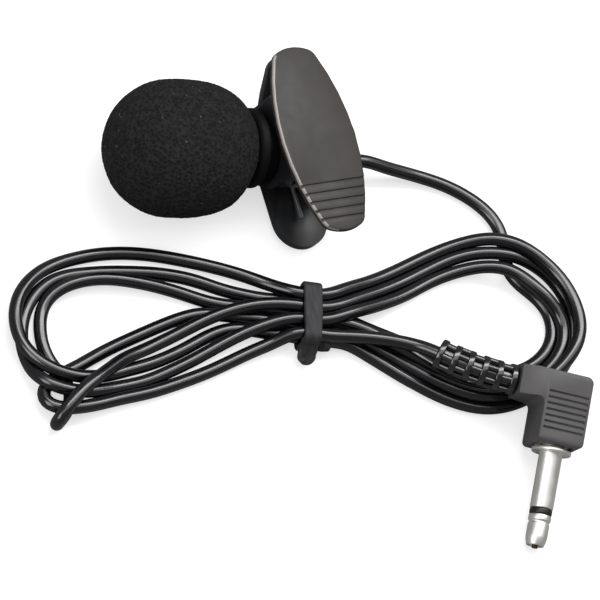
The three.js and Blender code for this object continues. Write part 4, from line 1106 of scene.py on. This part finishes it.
@dataclass
class Cable:
    """The cable: 2 mm PVC, folded into a hank that the tie holds by its waist."""

    diameter: float = 2.0
    sides: int = 16
    sample: float = 1.3
    under_tie: float = 2.0
    mic_exit: Spot = (9.5, -1.2, -0.9)
    exit_reaches: tuple[float, ...] = (0.0, 1.6, 3.2)
    relief: ReliefAxis = ReliefAxis()
    relief_radius: float = 2.4
    relief_stops: int = 12
    relief_ends: tuple[float, ...] = (13.4, 12.4, 11.5)
    # The last stretch, which is inside the relief or enters it.
    relief_run: float = 15.0
    # Under the plug's grip and its foot: lowest and highest own x, then lowest and highest own y.
    over_grip: tuple[float, ...] = (-8.2, 4.6, 6.4, 12.8)
    over_foot: tuple[float, ...] = (-4.6, 4.6, 0.0, 12.8)
    grip_half: float = 4.3
    grip_room: float = 1.05
    # Points further apart than this along the cable, in diameters, are on different strands.
    strand_gap: float = 3.2
    strand_near: float = 3.0
    least_gap: float = 0.05
    # Samples this near to a point that is held fast, in samples, are held too.
    held_near: float = 0.7
    easing: int = 12
    rounds: int = 320
    sinking_rounds: int = 192
    sinking: float = 0.03
    sideways_kept: float = 0.96
    last_easing: int = 5

    def route(self) -> tuple[np.ndarray, np.ndarray]:
        """Gives the points that the cable passes and those of them that are held fast."""
        x, y, z = self.mic_exit
        fast = list(placed(mic_frame(), [(x + reach, y, z) for reach in self.exit_reaches]))
        points = list(fast)
        for run in CABLE_RUNS:
            crossed = run.crossing.points(self.under_tie) if run.crossing else []
            points += [np.array(p) for p in run.points] + crossed
            fast += crossed
        ends = [self.relief.point(back) for back in self.relief_ends]
        return np.array(points + ends), np.array(fast + ends)

    def eased(self, plan: np.ndarray) -> np.ndarray:
        """Evens out a plan's bends without making its loops smaller."""
        made = plan.copy()
        for _ in range(self.easing):
            # A step inwards, and a slightly longer one back.
            for step in (0.5, -0.52):
                made[1:-1] += step * ((made[:-2] + made[2:]) / 2 - made[1:-1])
        return made

    def neighbours(self, plan: np.ndarray) -> tuple[np.ndarray, np.ndarray]:
        """Gives the pairs of points of different strands that could touch."""
        apart = round(self.strand_gap * self.diameter / self.sample)
        first, second = np.triu_indices(len(plan), k=apart)
        gaps = np.linalg.norm(plan[first, :2] - plan[second, :2], axis=1)
        near = gaps < self.strand_near * self.diameter
        return first[near], second[near]

    def parted(self, now: np.ndarray, first: np.ndarray, second: np.ndarray) -> np.ndarray:
        """Gives the move that takes touching strands apart.

        Args:
            now: n by 3 array of the points.
            first: one point of each pair.
            second: the other point of each pair.

        Returns:
            n by 3 array of moves.
        """
        gap = now[first] - now[second]
        apart = np.linalg.norm(gap, axis=1)
        close = apart < self.diameter
        far = np.maximum(apart[close], self.least_gap)
        push = gap[close] * ((self.diameter - far) / far * 0.5)[:, None]
        move = np.zeros_like(now)
        touched = np.zeros(len(now))
        for index, sign in ((first[close], 1), (second[close], -1)):
            np.add.at(move, index, sign * push)
            np.add.at(touched, index, 1)
        return move / np.maximum(touched, 1)[:, None]

    def kept_off_relief(self, now: np.ndarray) -> np.ndarray:
        """Gives the move that keeps strands out of the strain relief."""
        backs = np.linspace(0, self.relief.length, self.relief_stops)
        axis = np.array([self.relief.point(back) for back in backs])
        gap = now[:, None] - axis[None]
        apart = np.linalg.norm(gap, axis=2)
        nearest = np.argmin(apart, axis=1)
        rows = np.arange(len(now))
        far = apart[rows, nearest]
        room = self.relief_radius + self.diameter / 2
        short = np.clip(room - far, 0, None) / np.maximum(far, self.least_gap)
        move = gap[rows, nearest] * short[:, None]
        move[-round(self.relief_run / self.sample) :] = 0
        return move

    def room_under_plug(self, points: np.ndarray) -> np.ndarray:
        """Gives the height that the cable's middle may have at each point, under the plug."""
        x, y, _ = taken_back(plug_frame(), points).T
        covered = np.zeros(len(points), bool)
        for left, right, low, high in (self.over_grip, self.over_foot):
            covered |= (x > left) & (x < right) & (y > low) & (y < high)
        grip = self.grip_half * math.cos(PLUG_TILT)
        under = PLUG_PLACE[2] + y * math.sin(PLUG_TILT) - grip - self.grip_room
        return np.where(covered, under, np.inf)

    def settle(self, plan: np.ndarray, held: np.ndarray) -> np.ndarray:
        """Lets the strands come to rest on the table and on each other.

        Each round lets the points down a little, moves strands apart wherever they are nearer
        than one diameter, and evens out how far the points have come from their plan.

        Args:
            plan: n by 3 array of evenly spaced points.
            held: n flags of points that stay.

        Returns:
            n by 3 array of the same points at rest.
        """
        first, second = self.neighbours(plan)
        free = ~held
        shift = np.zeros_like(plan)
        for turn in range(self.rounds):
            soft = np.zeros_like(shift)
            soft[1:-1] = (shift[:-2] + shift[2:]) / 2 - shift[1:-1]
            shift[free] += 0.5 * soft[free]
            shift[free, :2] *= self.sideways_kept
            if turn < self.sinking_rounds:
                shift[free, 2] -= self.sinking
            now = plan + shift
            step = self.parted(now, first, second) + self.kept_off_relief(now)
            now[free] += step[free]
            ceiling = np.maximum(self.room_under_plug(now), self.diameter / 2)
            now[free, 2] = np.clip(now[free, 2], self.diameter / 2, ceiling[free])
            shift = now - plan
        for _ in range(self.last_easing):
            shift[1:-1] += 0.5 * ((shift[:-2] + shift[2:]) / 2 - shift[1:-1])
        return plan + shift

    def build(self) -> None:
        points, fast = self.route()
        plan = self.eased(smooth_path(points, self.sample))
        reach = np.linalg.norm(plan[:, None] - fast[None], axis=2).min(axis=1)
        held = reach < self.sample * self.held_near
        held[:3] = held[-3:] = True
        path = smooth_path(self.settle(plan, held), self.sample / 2)
        cable = mesh_object("cable", *tube_mesh(path, self.diameter / 2, self.sides), CABLE_PVC)
        nodes = ("cable_mic_lead", "cable_hank", "cable_plug_lead")
        hand_over(cable, Body.MICROPHONE, "cable", *nodes)


# ---------------------------------------------------------------- tie


@dataclass(frozen=True)
class TieEnd:
    """A loose end of the tie: the points of its middle line from the band outwards.

    Widths are those at the band, in the middle and at the tip. Twist is how far it turns about
    its own line, in degrees, and tip the share of its length over which it is cut round.
    """

    name: str
    spine: tuple[Spot, ...]
    widths: Spot
    twist: float
    tip: float = 0.18

    def width(self, t: float) -> float:
        """Gives its width at a share of its length."""
        wide = float(np.interp(t, (0, 0.5, 1), self.widths))
        return wide * math.sqrt(max(0.02, 1 - max(0.0, (t - (1 - self.tip)) / self.tip) ** 2))


TIE_ENDS = (
    TieEnd(
        "tie_end",
        (
            (8.3, -27.9, 4.2),
            (8.2, -28.75, 2.9),
            (8.15, -29.3, 1.9),
            (8.3, -30.0, 1.35),
            (8.6, -30.8, 1.05),
        ),
        (2.6, 2.9, 2.3),
        28,
    ),
    TieEnd(
        "tie_end_tucked",
        ((10.2, -27.8, 2.3), (10.6, -28.3, 2.0), (11.2, -28.6, 1.7), (11.8, -28.8, 1.5)),
        (2.4, 2.4, 1.8),
        35,
    ),
    TieEnd(
        "tie_knot",
        ((8.6, -28.2, 2.4), (7.7, -29.0, 2.1), (7.3, -29.7, 1.5), (7.9, -30.2, 1.2)),
        (1.4, 1.7, 1.4),
        -50,
    ),
)


@dataclass
class Tie:
    """The rubber band round the hank's waist, with its short twisted ends."""

    width: float = 2.8
    thickness: float = 0.62
    half_across: float = 4.35
    far_across: float = 5.0
    low: float = 0.42
    high: float = 5.1
    corner: float = 0.95
    corner_steps: int = 9
    section_corner: float = 0.42
    section_steps: int = 4
    ring_gap: float = 0.35
    end_ring_gap: float = 0.2
    # How much its width comes and goes twice and five times round, and how far it leans aside.
    wave: float = 0.03
    ripple: float = 0.02
    lean: float = 0.08

    def loop(self) -> np.ndarray:
        """Gives the middle line of the band, once round the strands."""
        low, high = (-self.half_across, self.low), (self.far_across, self.high)
        rows = rounded_box(low, high, self.corner, self.corner_steps)
        base, up = np.array((*TIE_PLACE, 0.0)), np.array((0.0, 0.0, 1.0))
        closed = np.array([base + ACROSS_WAIST * u + up * z for u, z in [*rows, rows[0]]])
        return evenly(closed, self.ring_gap)[:-1]

    def section(self, wide: float) -> Profile:
        """Gives a flat section's rounded outline, as pairs across and through."""
        half = np.array((wide / 2, self.thickness / 2))
        corner = self.thickness * self.section_corner
        return rounded_box(tuple(-half), tuple(half), corner, self.section_steps)

    def band(self) -> Object:
        """Makes the closed band, a little wider and narrower from place to place."""
        path = self.loop()
        tangent = np.roll(path, -1, axis=0) - np.roll(path, 1, axis=0)
        tangent /= np.linalg.norm(tangent, axis=1, keepdims=True)
        points = []
        for i, place in enumerate(path):
            out = np.cross(tangent[i], ALONG_WAIST)
            share = 2 * math.pi * i / len(path)
            wave, ripple = self.wave * math.sin(2 * share), self.ripple * math.sin(5 * share + 1)
            lean = self.lean * math.sin(share + 0.5)
            for a, n in self.section(self.width * (1 + wave + ripple)):
                points.append(place + ALONG_WAIST * (a + lean) + out * n)
        faces = ring_faces(len(path), len(points) // len(path), joined=True)
        return mesh_object("tie_band", np.array(points), faces, TIE_RUBBER)

    def ribbon(self, end: TieEnd) -> Object:
        """Makes one loose end of the band."""
        path = smooth_path(np.array(end.spine), self.end_ring_gap)
        tangent = np.gradient(path, axis=0)
        tangent /= np.linalg.norm(tangent, axis=1, keepdims=True)
        points = []
        for i, place in enumerate(path):
            t = i / (len(path) - 1)
            side = ALONG_WAIST - tangent[i] * np.dot(ALONG_WAIST, tangent[i])
            side /= np.linalg.norm(side)
            out = np.cross(tangent[i], side)
            turn = math.radians(end.twist) * t
            across = side * math.cos(turn) + out * math.sin(turn)
            through = out * math.cos(turn) - side * math.sin(turn)
            for a, n in self.section(max(end.width(t), self.thickness)):
                points.append(place + across * a + through * n)
        faces = ring_faces(len(path), len(points) // len(path))
        return mesh_object(end.name, np.array(points), faces, TIE_RUBBER)

    def build(self) -> None:
        """Makes the band and its ends."""
        for piece in (self.band(), *(self.ribbon(end) for end in TIE_ENDS)):
            hand_over(piece, Body.MICROPHONE, "tie", "cable_tie")


# ---------------------------------------------------------------- windscreen


@dataclass
class Windscreen:
    """The foam ball that slips over the housing's nose.

    Its outline is two rounded halves that meet where it is widest, each with its own power: 2
    would be an ellipse, and more is squarer.
    """

    radius: float = 10.15
    front: float = 10.5
    front_power: float = 2.15
    back: float = 11.2
    back_power: float = 2.7
    back_reach: float = 11.9
    back_share: float = 0.93
    open_end: float = -9.22
    bore: float = 5.0
    bore_end: float = -22.22
    rim: float = 0.7
    rim_corner: float = 0.5
    rim_step: float = 0.3
    swell: float = 0.012
    swell_fade: float = 3.0
    sag: Spot = (-0.02, -0.32, -0.14)
    # Depth of the pores and of the lumps, and how many of each there are per millimetre.
    pore: float = 0.07
    pore_pitch: float = 2.6
    fine_pore: float = 0.6
    fine_pore_pitch: float = 5.3
    lump: float = 0.12
    lump_pitch: float = 0.22
    sides: int = 256
    rows: int = 84

    def reach(self, along: float, power: float, length: float) -> float:
        """Gives the ball's radius at a distance along the axis from its widest place."""
        return self.radius * max(0.0, 1 - (along / length) ** power) ** (1 / power)

    def profile(self) -> Profile:
        """Gives the outline from the front pole round the rim and into the bore."""
        widest = self.open_end - self.back
        made = [(widest - self.front, 0.0)]
        for angle in np.linspace(0, np.pi / 2, self.rows)[1:]:
            s = self.front * math.cos(angle)
            made.append((widest - s, self.reach(s, self.front_power, self.front)))
        for s in np.linspace(0, self.back * self.back_share, self.rows)[1:]:
            made.append((widest + s, self.reach(s, self.back_power, self.back_reach)))
        rim = [made[-1], (self.open_end, self.bore + self.rim), (self.open_end, self.bore)]
        made += rounded(rim, self.rim_corner)[1:-1]
        made += [(self.open_end - self.rim_step, self.bore), (self.bore_end, self.bore)]
        return [*made, (self.bore_end, 0.0)]

    def roughen(self, foam: Object) -> None:
        """Gives the outside its pores, its slight lumps and its sag."""
        frame = mic_frame()
        mesh = foam.data
        places, normals = np.empty((2, len(mesh.vertices) * 3))
        mesh.vertices.foreach_get("co", places)
        mesh.vertices.foreach_get("normal", normals)
        places, normals = places.reshape(-1, 3) / MM, normals.reshape(-1, 3)
        own = taken_back(frame, places)
        # The bore and its flat end stay smooth.
        off_bore = np.hypot(own[:, 1], own[:, 2]) > self.bore + 0.05
        past_bore = own[:, 0] < self.bore_end - 0.5
        centre = placed(frame, [(self.open_end - self.back, 0, 0)])[0]
        for i in np.nonzero(off_bore | past_bore)[0]:
            spot = Vector(places[i])
            fine = self.fine_pore * noise.noise(spot * self.fine_pore_pitch)
            pore = noise.noise(spot * self.pore_pitch) + fine
            wave = noise.noise(spot * self.lump_pitch)
            places[i] += normals[i] * (self.pore * pore + self.lump * wave)
            fade = min(1.0, max(0.0, (self.open_end - own[i, 0]) / self.swell_fade))
            places[i] += fade * (np.array(self.sag) + self.swell * (places[i] - centre))
        # The foam gives where it rests on the table.
        places[:, 2] = np.maximum(places[:, 2], 0.0)
        mesh.vertices.foreach_set("co", (places * MM).ravel())
        mesh.update()

    def build(self) -> None:
        foam = lathe("windscreen", mic_frame(), self.profile(), WINDSCREEN_FOAM, self.sides)
        self.roughen(foam)
        hand_over(foam, Body.FOAM, "foam", "foam_windscreen")


# ---------------------------------------------------------------- clip


@dataclass
class Clip:
    """The spring clip: the pad half with its two ears, the dark rear half and the spring."""

    pad_bottom: float = 5.98
    pad_edge: float = 0.24
    rear_edge: float = 0.112
    # A face of the pad whose normal in the clip's own frame is past both of these is its rim, which
    # gets the painted highlight.
    highlight_rim_forward: float = -0.25
    highlight_rim_up: float = 0.2
    wire: float = 0.38
    wire_sides: int = 14
    coil: float = 5.35
    turns: int = 2
    leg_reach: float = 9.8
    leg_side: float = 1.0
    leg_step: float = 0.8
    rear_leg_drop: float = -3.3
    points_per_turn: int = 48
    blend_share: float = 0.9

    def pad_half(self, node: Object) -> None:
        """Makes the pad half: its face painted warm grey as a reflection, its rim a painted
        highlight, its ears in the rear half's near-black.
        """
        made = recast("clip_pad_half", node, PAD_FACE_PAINTED_SHEEN, self.pad_edge)
        made.data.materials.append(CLIP_ABS.material())
        made.data.materials.append(PAD_RIM_PAINTED_HIGHLIGHT.material())
        frame = clip_frame()
        for face in made.data.polygons:
            facing_own = np.array(face.normal) @ frame[:3, :3]
            # Faces below the pad's top keep the near-black; the face above them keeps the warm grey
            # of the painted reflection.
            if taken_back(frame, np.array(face.center) / MM)[2] < self.pad_bottom:
                face.material_index = 1
            # Rim faces that point forward and up get the paler colour: a painted highlight.
            elif facing_own[0] < self.highlight_rim_forward and facing_own[2] > self.highlight_rim_up:
                face.material_index = 2
        hand_over(made, Body.CLIP_PAD, "pad", "clip_front")

    def rear_half(self, node: Object) -> None:
        """Makes the half with the paddle, the hinge rings and the toothed jaw."""
        made = recast("clip_rear_half", node, CLIP_ABS, self.rear_edge)
        hand_over(made, Body.CLIP_BACK, "clip", "clip_rear")

    def spring_path(self) -> np.ndarray:
        """Gives the wire's middle line, from the leg under the pad to the leg on the paddle."""
        rear = math.atan2(self.rear_leg_drop, -self.leg_reach)
        far = math.hypot(self.rear_leg_drop, self.leg_reach)
        leave = rear + math.acos(self.coil / far)
        turn = math.pi / 2 - leave + 2 * math.pi * self.turns
        steps = round(turn / (2 * math.pi) * self.points_per_turn)
        share = np.linspace(0, 1, steps + 1)
        angle = math.pi / 2 - turn * share
        sideways = self.leg_side * (2 * share - 1)
        around = (self.coil * np.cos(angle), self.coil * np.sin(angle))
        wound = np.stack([sideways, *around], axis=1)
        front = np.array((-self.leg_side, -self.leg_reach, self.coil))
        back = np.array((self.leg_side, -self.leg_reach, self.rear_leg_drop))
        first = evenly(np.stack([front, wound[0]]), self.leg_step)
        last = evenly(np.stack([wound[-1], back]), self.leg_step)
        return placed(mic_frame(), np.vstack([first[:-1], wound, last[1:]]))

    def spring(self) -> None:
        """Makes the torsion spring, whose coil winds up as the clip opens."""
        sizes = {"Wire radius": self.wire * MM, "Wire sides": self.wire_sides}
        form = NodeForm("wire_form", sizes)
        wire = form.swept(form.line(), form.size["Wire radius"], form.size["Wire sides"])
        form.finish(wire, SPRING_STEEL)
        made = form.cast("torsion_spring", self.spring_path())
        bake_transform(made)
        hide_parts("clip_spring")

    def build(self, nodes: dict[str, Object]) -> None:
        """Makes the clip's three pieces."""
        self.pad_half(nodes["clip_front"])
        self.rear_half(nodes["clip_rear"])
        self.spring()


# ---------------------------------------------------------------- microphone housing


@dataclass
class Housing:
    """The barrel with its flange and nose, the rear cap and the cable's bush."""

    edge: float = 0.14

    def build(self, nodes: dict[str, Object]) -> None:
        """Makes the housing's outer pieces."""
        for name, node, finish, slot in (
            ("housing_shell", "mic_housing", HOUSING_ABS, "housing"),
            ("housing_cap", "rear_cap", HOUSING_ABS, "housing"),
            ("cable_collar", "cable_bush", BUSH_RUBBER, "bush"),
        ):
            hand_over(recast(name, nodes[node], finish, self.edge), Body.MICROPHONE, slot, node)


# ---------------------------------------------------------------- plug


@dataclass
class StrainRelief:
    """The slotted strain relief: rings along its bent axis, joined by webs round a core."""

    axis: ReliefAxis = ReliefAxis()
    root_gap: float = 0.3
    path_points: int = 40
    ribs: int = 6
    slot: float = 1.2
    radius: float = 2.35
    ring_depth: float = 1.0
    ring_corner: float = 0.22
    ring_sides: int = 40
    core: float = 1.5
    core_sides: int = 24
    webs: int = 6
    web: float = 0.45
    web_sides: int = 12
    web_overlap: float = 0.4
    web_inset: float = 0.05

    def sizes(self) -> dict[str, float]:
        """Gives the named inputs of the node tree."""
        length = self.axis.length
        rib = (length - (self.ribs - 1) * self.slot) / self.ribs
        return {
            "Places": 2 * self.ribs - 1,
            "Ring width": rib * MM,
            "Ring depth": self.ring_depth * MM,
            "Ring middle": (self.radius - self.ring_depth / 2) * MM,
            "Ring corner": self.ring_corner * MM,
            "Ring sides": self.ring_sides,
            "Core radius": self.core * MM,
            "Core sides": self.core_sides,
            "Webs": self.webs,
            "Web radius": self.web * MM,
            "Web length": (self.slot + self.web_overlap) * MM,
            "Web middle": (self.radius - self.web - self.web_inset) * MM,
            "Ends share": rib / 2 / length,
        }

    def ring(self, form: NodeForm) -> Socket:
        """Adds one ring, its section a block with softened corners."""
        inputs = {"Radius": form.size["Ring middle"], "Resolution": form.size["Ring sides"]}
        circle = form.add("GeometryNodeCurvePrimitiveCircle", inputs)
        inputs = {"Width": form.size["Ring depth"], "Height": form.size["Ring width"]}
        block = form.add("GeometryNodeCurvePrimitiveQuadrilateral", inputs, mode="RECTANGLE")
        inputs = {"Curve": block.outputs[0], "Radius": form.size["Ring corner"], "Count": 3}
        softened = form.add(
            "GeometryNodeFilletCurve", {**inputs, "Limit Radius": True}, mode="POLY"
        )
        inputs = {"Curve": circle.outputs[0], "Profile Curve": softened.outputs[0]}
        return form.add("GeometryNodeCurveToMesh", inputs).outputs[0]

    def web_row(self, form: NodeForm, index: Socket) -> Socket:
        """Adds one row of webs that stand round the core."""
        inputs = {"Radius": form.size["Web radius"], "Depth": form.size["Web length"]}
        rod = form.add("GeometryNodeMeshCylinder", {**inputs, "Vertices": self.web_sides})
        out = form.add("ShaderNodeCombineXYZ", {"X": form.size["Web middle"]}).outputs[0]
        inputs = {"Geometry": rod.outputs[0], "Translation": out}
        moved = form.add("GeometryNodeTransform", inputs).outputs[0]
        seats = form.add("GeometryNodePoints", {"Count": form.size["Webs"]}).outputs[0]
        step = form.sums("DIVIDE", 2 * math.pi, form.size["Webs"])
        return form.instances(seats, moved, form.turned(form.sums("MULTIPLY", index, step)))

    def form(self) -> NodeForm:
        """Builds the tree that sets rings and rows of webs by turns along the axis."""
        form = NodeForm("strain_relief_form", self.sizes())
        line, ends = form.line(), form.size["Ends share"]
        # Inputs 2 and 3 are the trim's start and end as shares of the length.
        inputs = {"Curve": line, 2: ends, 3: form.sums("SUBTRACT", 1.0, ends)}
        middle = form.add("GeometryNodeTrimCurve", inputs, mode="FACTOR").outputs[0]
        inputs = {"Curve": middle, "Count": form.size["Places"]}
        stops = form.add("GeometryNodeCurveToPoints", inputs, mode="COUNT").outputs
        spots, lie = stops["Points"], stops["Rotation"]
        index = form.add("GeometryNodeInputIndex").outputs[0]
        odd = form.sums("MODULO", index, 2.0)
        even = form.sums("SUBTRACT", 1.0, odd)
        rings = form.instances(spots, self.ring(form), lie, Selection=even)
        # Every second row of webs is turned by half of a web's share of the circle.
        row_index = form.sums("FLOOR", form.sums("MULTIPLY", index, 0.5))
        second = form.sums("MODULO", row_index, 2.0)
        spin = form.turned(form.sums("MULTIPLY", second, math.pi / self.webs))
        inputs = {"Rotation": lie, "Rotate By": spin}
        turned = form.add("FunctionNodeRotateRotation", inputs, rotation_space="LOCAL").outputs[0]
        rows = form.instances(spots, self.web_row(form, index), turned, Selection=odd)
        core = form.swept(line, form.size["Core radius"], form.size["Core sides"])
        joined = form.add("GeometryNodeJoinGeometry", {0: [core, rings, rows]})
        form.finish(joined.outputs[0], RELIEF_PVC)
        return form

    def build(self) -> None:
        """Makes the strain relief round the cable's bent end."""
        backs = np.linspace(self.root_gap, self.root_gap + self.axis.length, self.path_points)
        path = np.array([self.axis.point(back) for back in backs])
        made = self.form().cast("relief_sleeve", path)
        hand_over(made, Body.MICROPHONE, "relief", "strain_relief")


# The tip's outline after its collar: share of its length, then radius.
TIP_OUTLINE = ((0.22, 1.5), (0.27, 1.5), (0.31, 1.62), (0.74, 1.62), (0.9, 1.458), (1.0, 1.296))


@dataclass
class Plug:
    """The right-angled plug: grip, strain relief, sleeve, insulator and tip."""

    edge: float = 0.22
    shaft: float = 1.75
    shoulder: float = 3.0
    shoulder_thickness: float = 0.6
    stem: float = 1.6
    stem_length: float = 3.3
    sleeve: float = 8.5
    sleeve_bore: float = 1.25
    sleeve_corner: float = 0.18
    ring: float = 1.7
    ring_length: float = 0.8
    ring_bore: float = 1.05
    ring_corner: float = 0.12
    contact_gap: float = 0.06
    tip: float = 4.7
    tip_collar: float = 0.19
    tip_bore: float = 0.7
    tip_mouth: float = 1.12
    tip_mouth_depth: float = 0.12
    tip_corner: float = 0.25

    def sleeve_profile(self) -> Profile:
        """Gives the sleeve's outline once round, from the end of its stem inside the grip."""
        low = -self.shoulder_thickness
        inside = low - self.stem_length
        outline = [
            (inside, self.sleeve_bore),
            (inside, self.stem),
            (low, self.stem),
            (low, self.shoulder),
            (0.0, self.shoulder),
            (0.0, self.shaft),
            (self.sleeve, self.shaft),
            (self.sleeve, self.sleeve_bore),
        ]
        return rounded([*outline, outline[0]], self.sleeve_corner)

    def ring_profile(self, start: float, end: float) -> Profile:
        """Gives the insulator ring's outline once round."""
        outline = [(start, self.ring_bore), (start, self.ring), (end, self.ring)]
        return rounded([*outline, (end, self.ring_bore), outline[0]], self.ring_corner)

    def tip_profile(self, start: float) -> Profile:
        """Gives the tip's outline once round: collar, waist, ball and open mouth."""
        outline = [(start, self.tip_bore), (start, self.ring)]
        outline.append((start + self.tip * self.tip_collar, self.ring))
        outline += [(start + self.tip * share, radius) for share, radius in TIP_OUTLINE]
        outline.append((start + self.tip, self.tip_mouth))
        outline.append((start + self.tip * (1 - self.tip_mouth_depth), self.tip_bore))
        return rounded([*outline, outline[0]], self.tip_corner)

    def contacts(self) -> None:
        """Makes the turned sleeve, insulator ring and tip, about the shaft's own axis."""
        down_shaft = plug_frame() @ np.array(Matrix.Rotation(-math.pi / 2, 4, "Z"))
        start = self.sleeve + self.contact_gap
        end = start + self.ring_length
        tip = self.tip_profile(end + self.contact_gap)
        for name, profile, finish, slot, node in (
            ("plug_sleeve", self.sleeve_profile(), NICKEL, "nickel", "sleeve_contact"),
            ("plug_ring", self.ring_profile(start, end), BLACK_ABS, "black", "insulator_ring"),
            ("plug_tip", tip, NICKEL, "nickel", "tip_contact"),
        ):
            hand_over(lathe(name, down_shaft, profile, finish), Body.MICROPHONE, slot, node)

    def build(self, nodes: dict[str, Object]) -> None:
        """Makes the plug's outer pieces, the grip with its two ridged panels first."""
        grip = recast("plug_grip", nodes["plug_body"], PLUG_PVC, self.edge)
        hand_over(grip, Body.MICROPHONE, "plug_grip", "plug_body")
        self.contacts()
        StrainRelief().build()


# ---------------------------------------------------------------- the pieces inside

# Carried-over nodes by finish; nearly all of them show only when the part is opened.
INNER_NODES = {
    CAN_ALUMINIUM: ("front_grille", "capsule_can"),
    FELT: ("capsule_felt",),
    BUSH_RUBBER: ("capsule_boot",),
    BRASS: ("diaphragm_ring", "back_plate", "tip_lug", "sleeve_lug"),
    # The tip rod's brass is painted dark, as the shade inside the tip's mouth.
    BRASS_PAINTED_SHADE: ("tip_rod",),
    CREAM_ABS: ("plate_holder", "plug_core", "rod_insulator"),
    BLACK_ABS: ("amplifier_chip",),
    BOARD_RESIST: ("capsule_board",),
    SOLDER: ("signal_solder_joint", "screen_solder_joint"),
    COPPER: (
        "mic_signal_conductor",
        "mic_screen_conductor",
        "plug_signal_conductor",
        "plug_screen_conductor",
    ),
    SPRING_STEEL: ("cable_crimp",),
    CABLE_PVC: ("mic_end_jacket", "plug_end_jacket"),
}


def dress_inside(nodes: dict[str, Object]) -> None:
    """Gives every CAD node that stays its real finish."""
    for finish, names in INNER_NODES.items():
        for obj in (nodes[name] for name in names):
            if not obj.material_slots:
                obj.data.materials.append(finish.material())
            for slot in obj.material_slots:
                slot.material = finish.material()
        LOG.info("%s: %s", finish.name, ", ".join(names))


def main() -> None:
    """Builds the studio and the part's pieces in order."""
    logging.basicConfig(level=logging.INFO, format="%(name)s: %(message)s")
    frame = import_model()
    nodes = frame["nodes"]
    Studio().build()
    Plug().build(nodes)
    Tie().build()
    Cable().build()
    Windscreen().build()
    Clip().build(nodes)
    Housing().build(nodes)
    dress_inside(nodes)


if __name__ == "__main__":
    main()
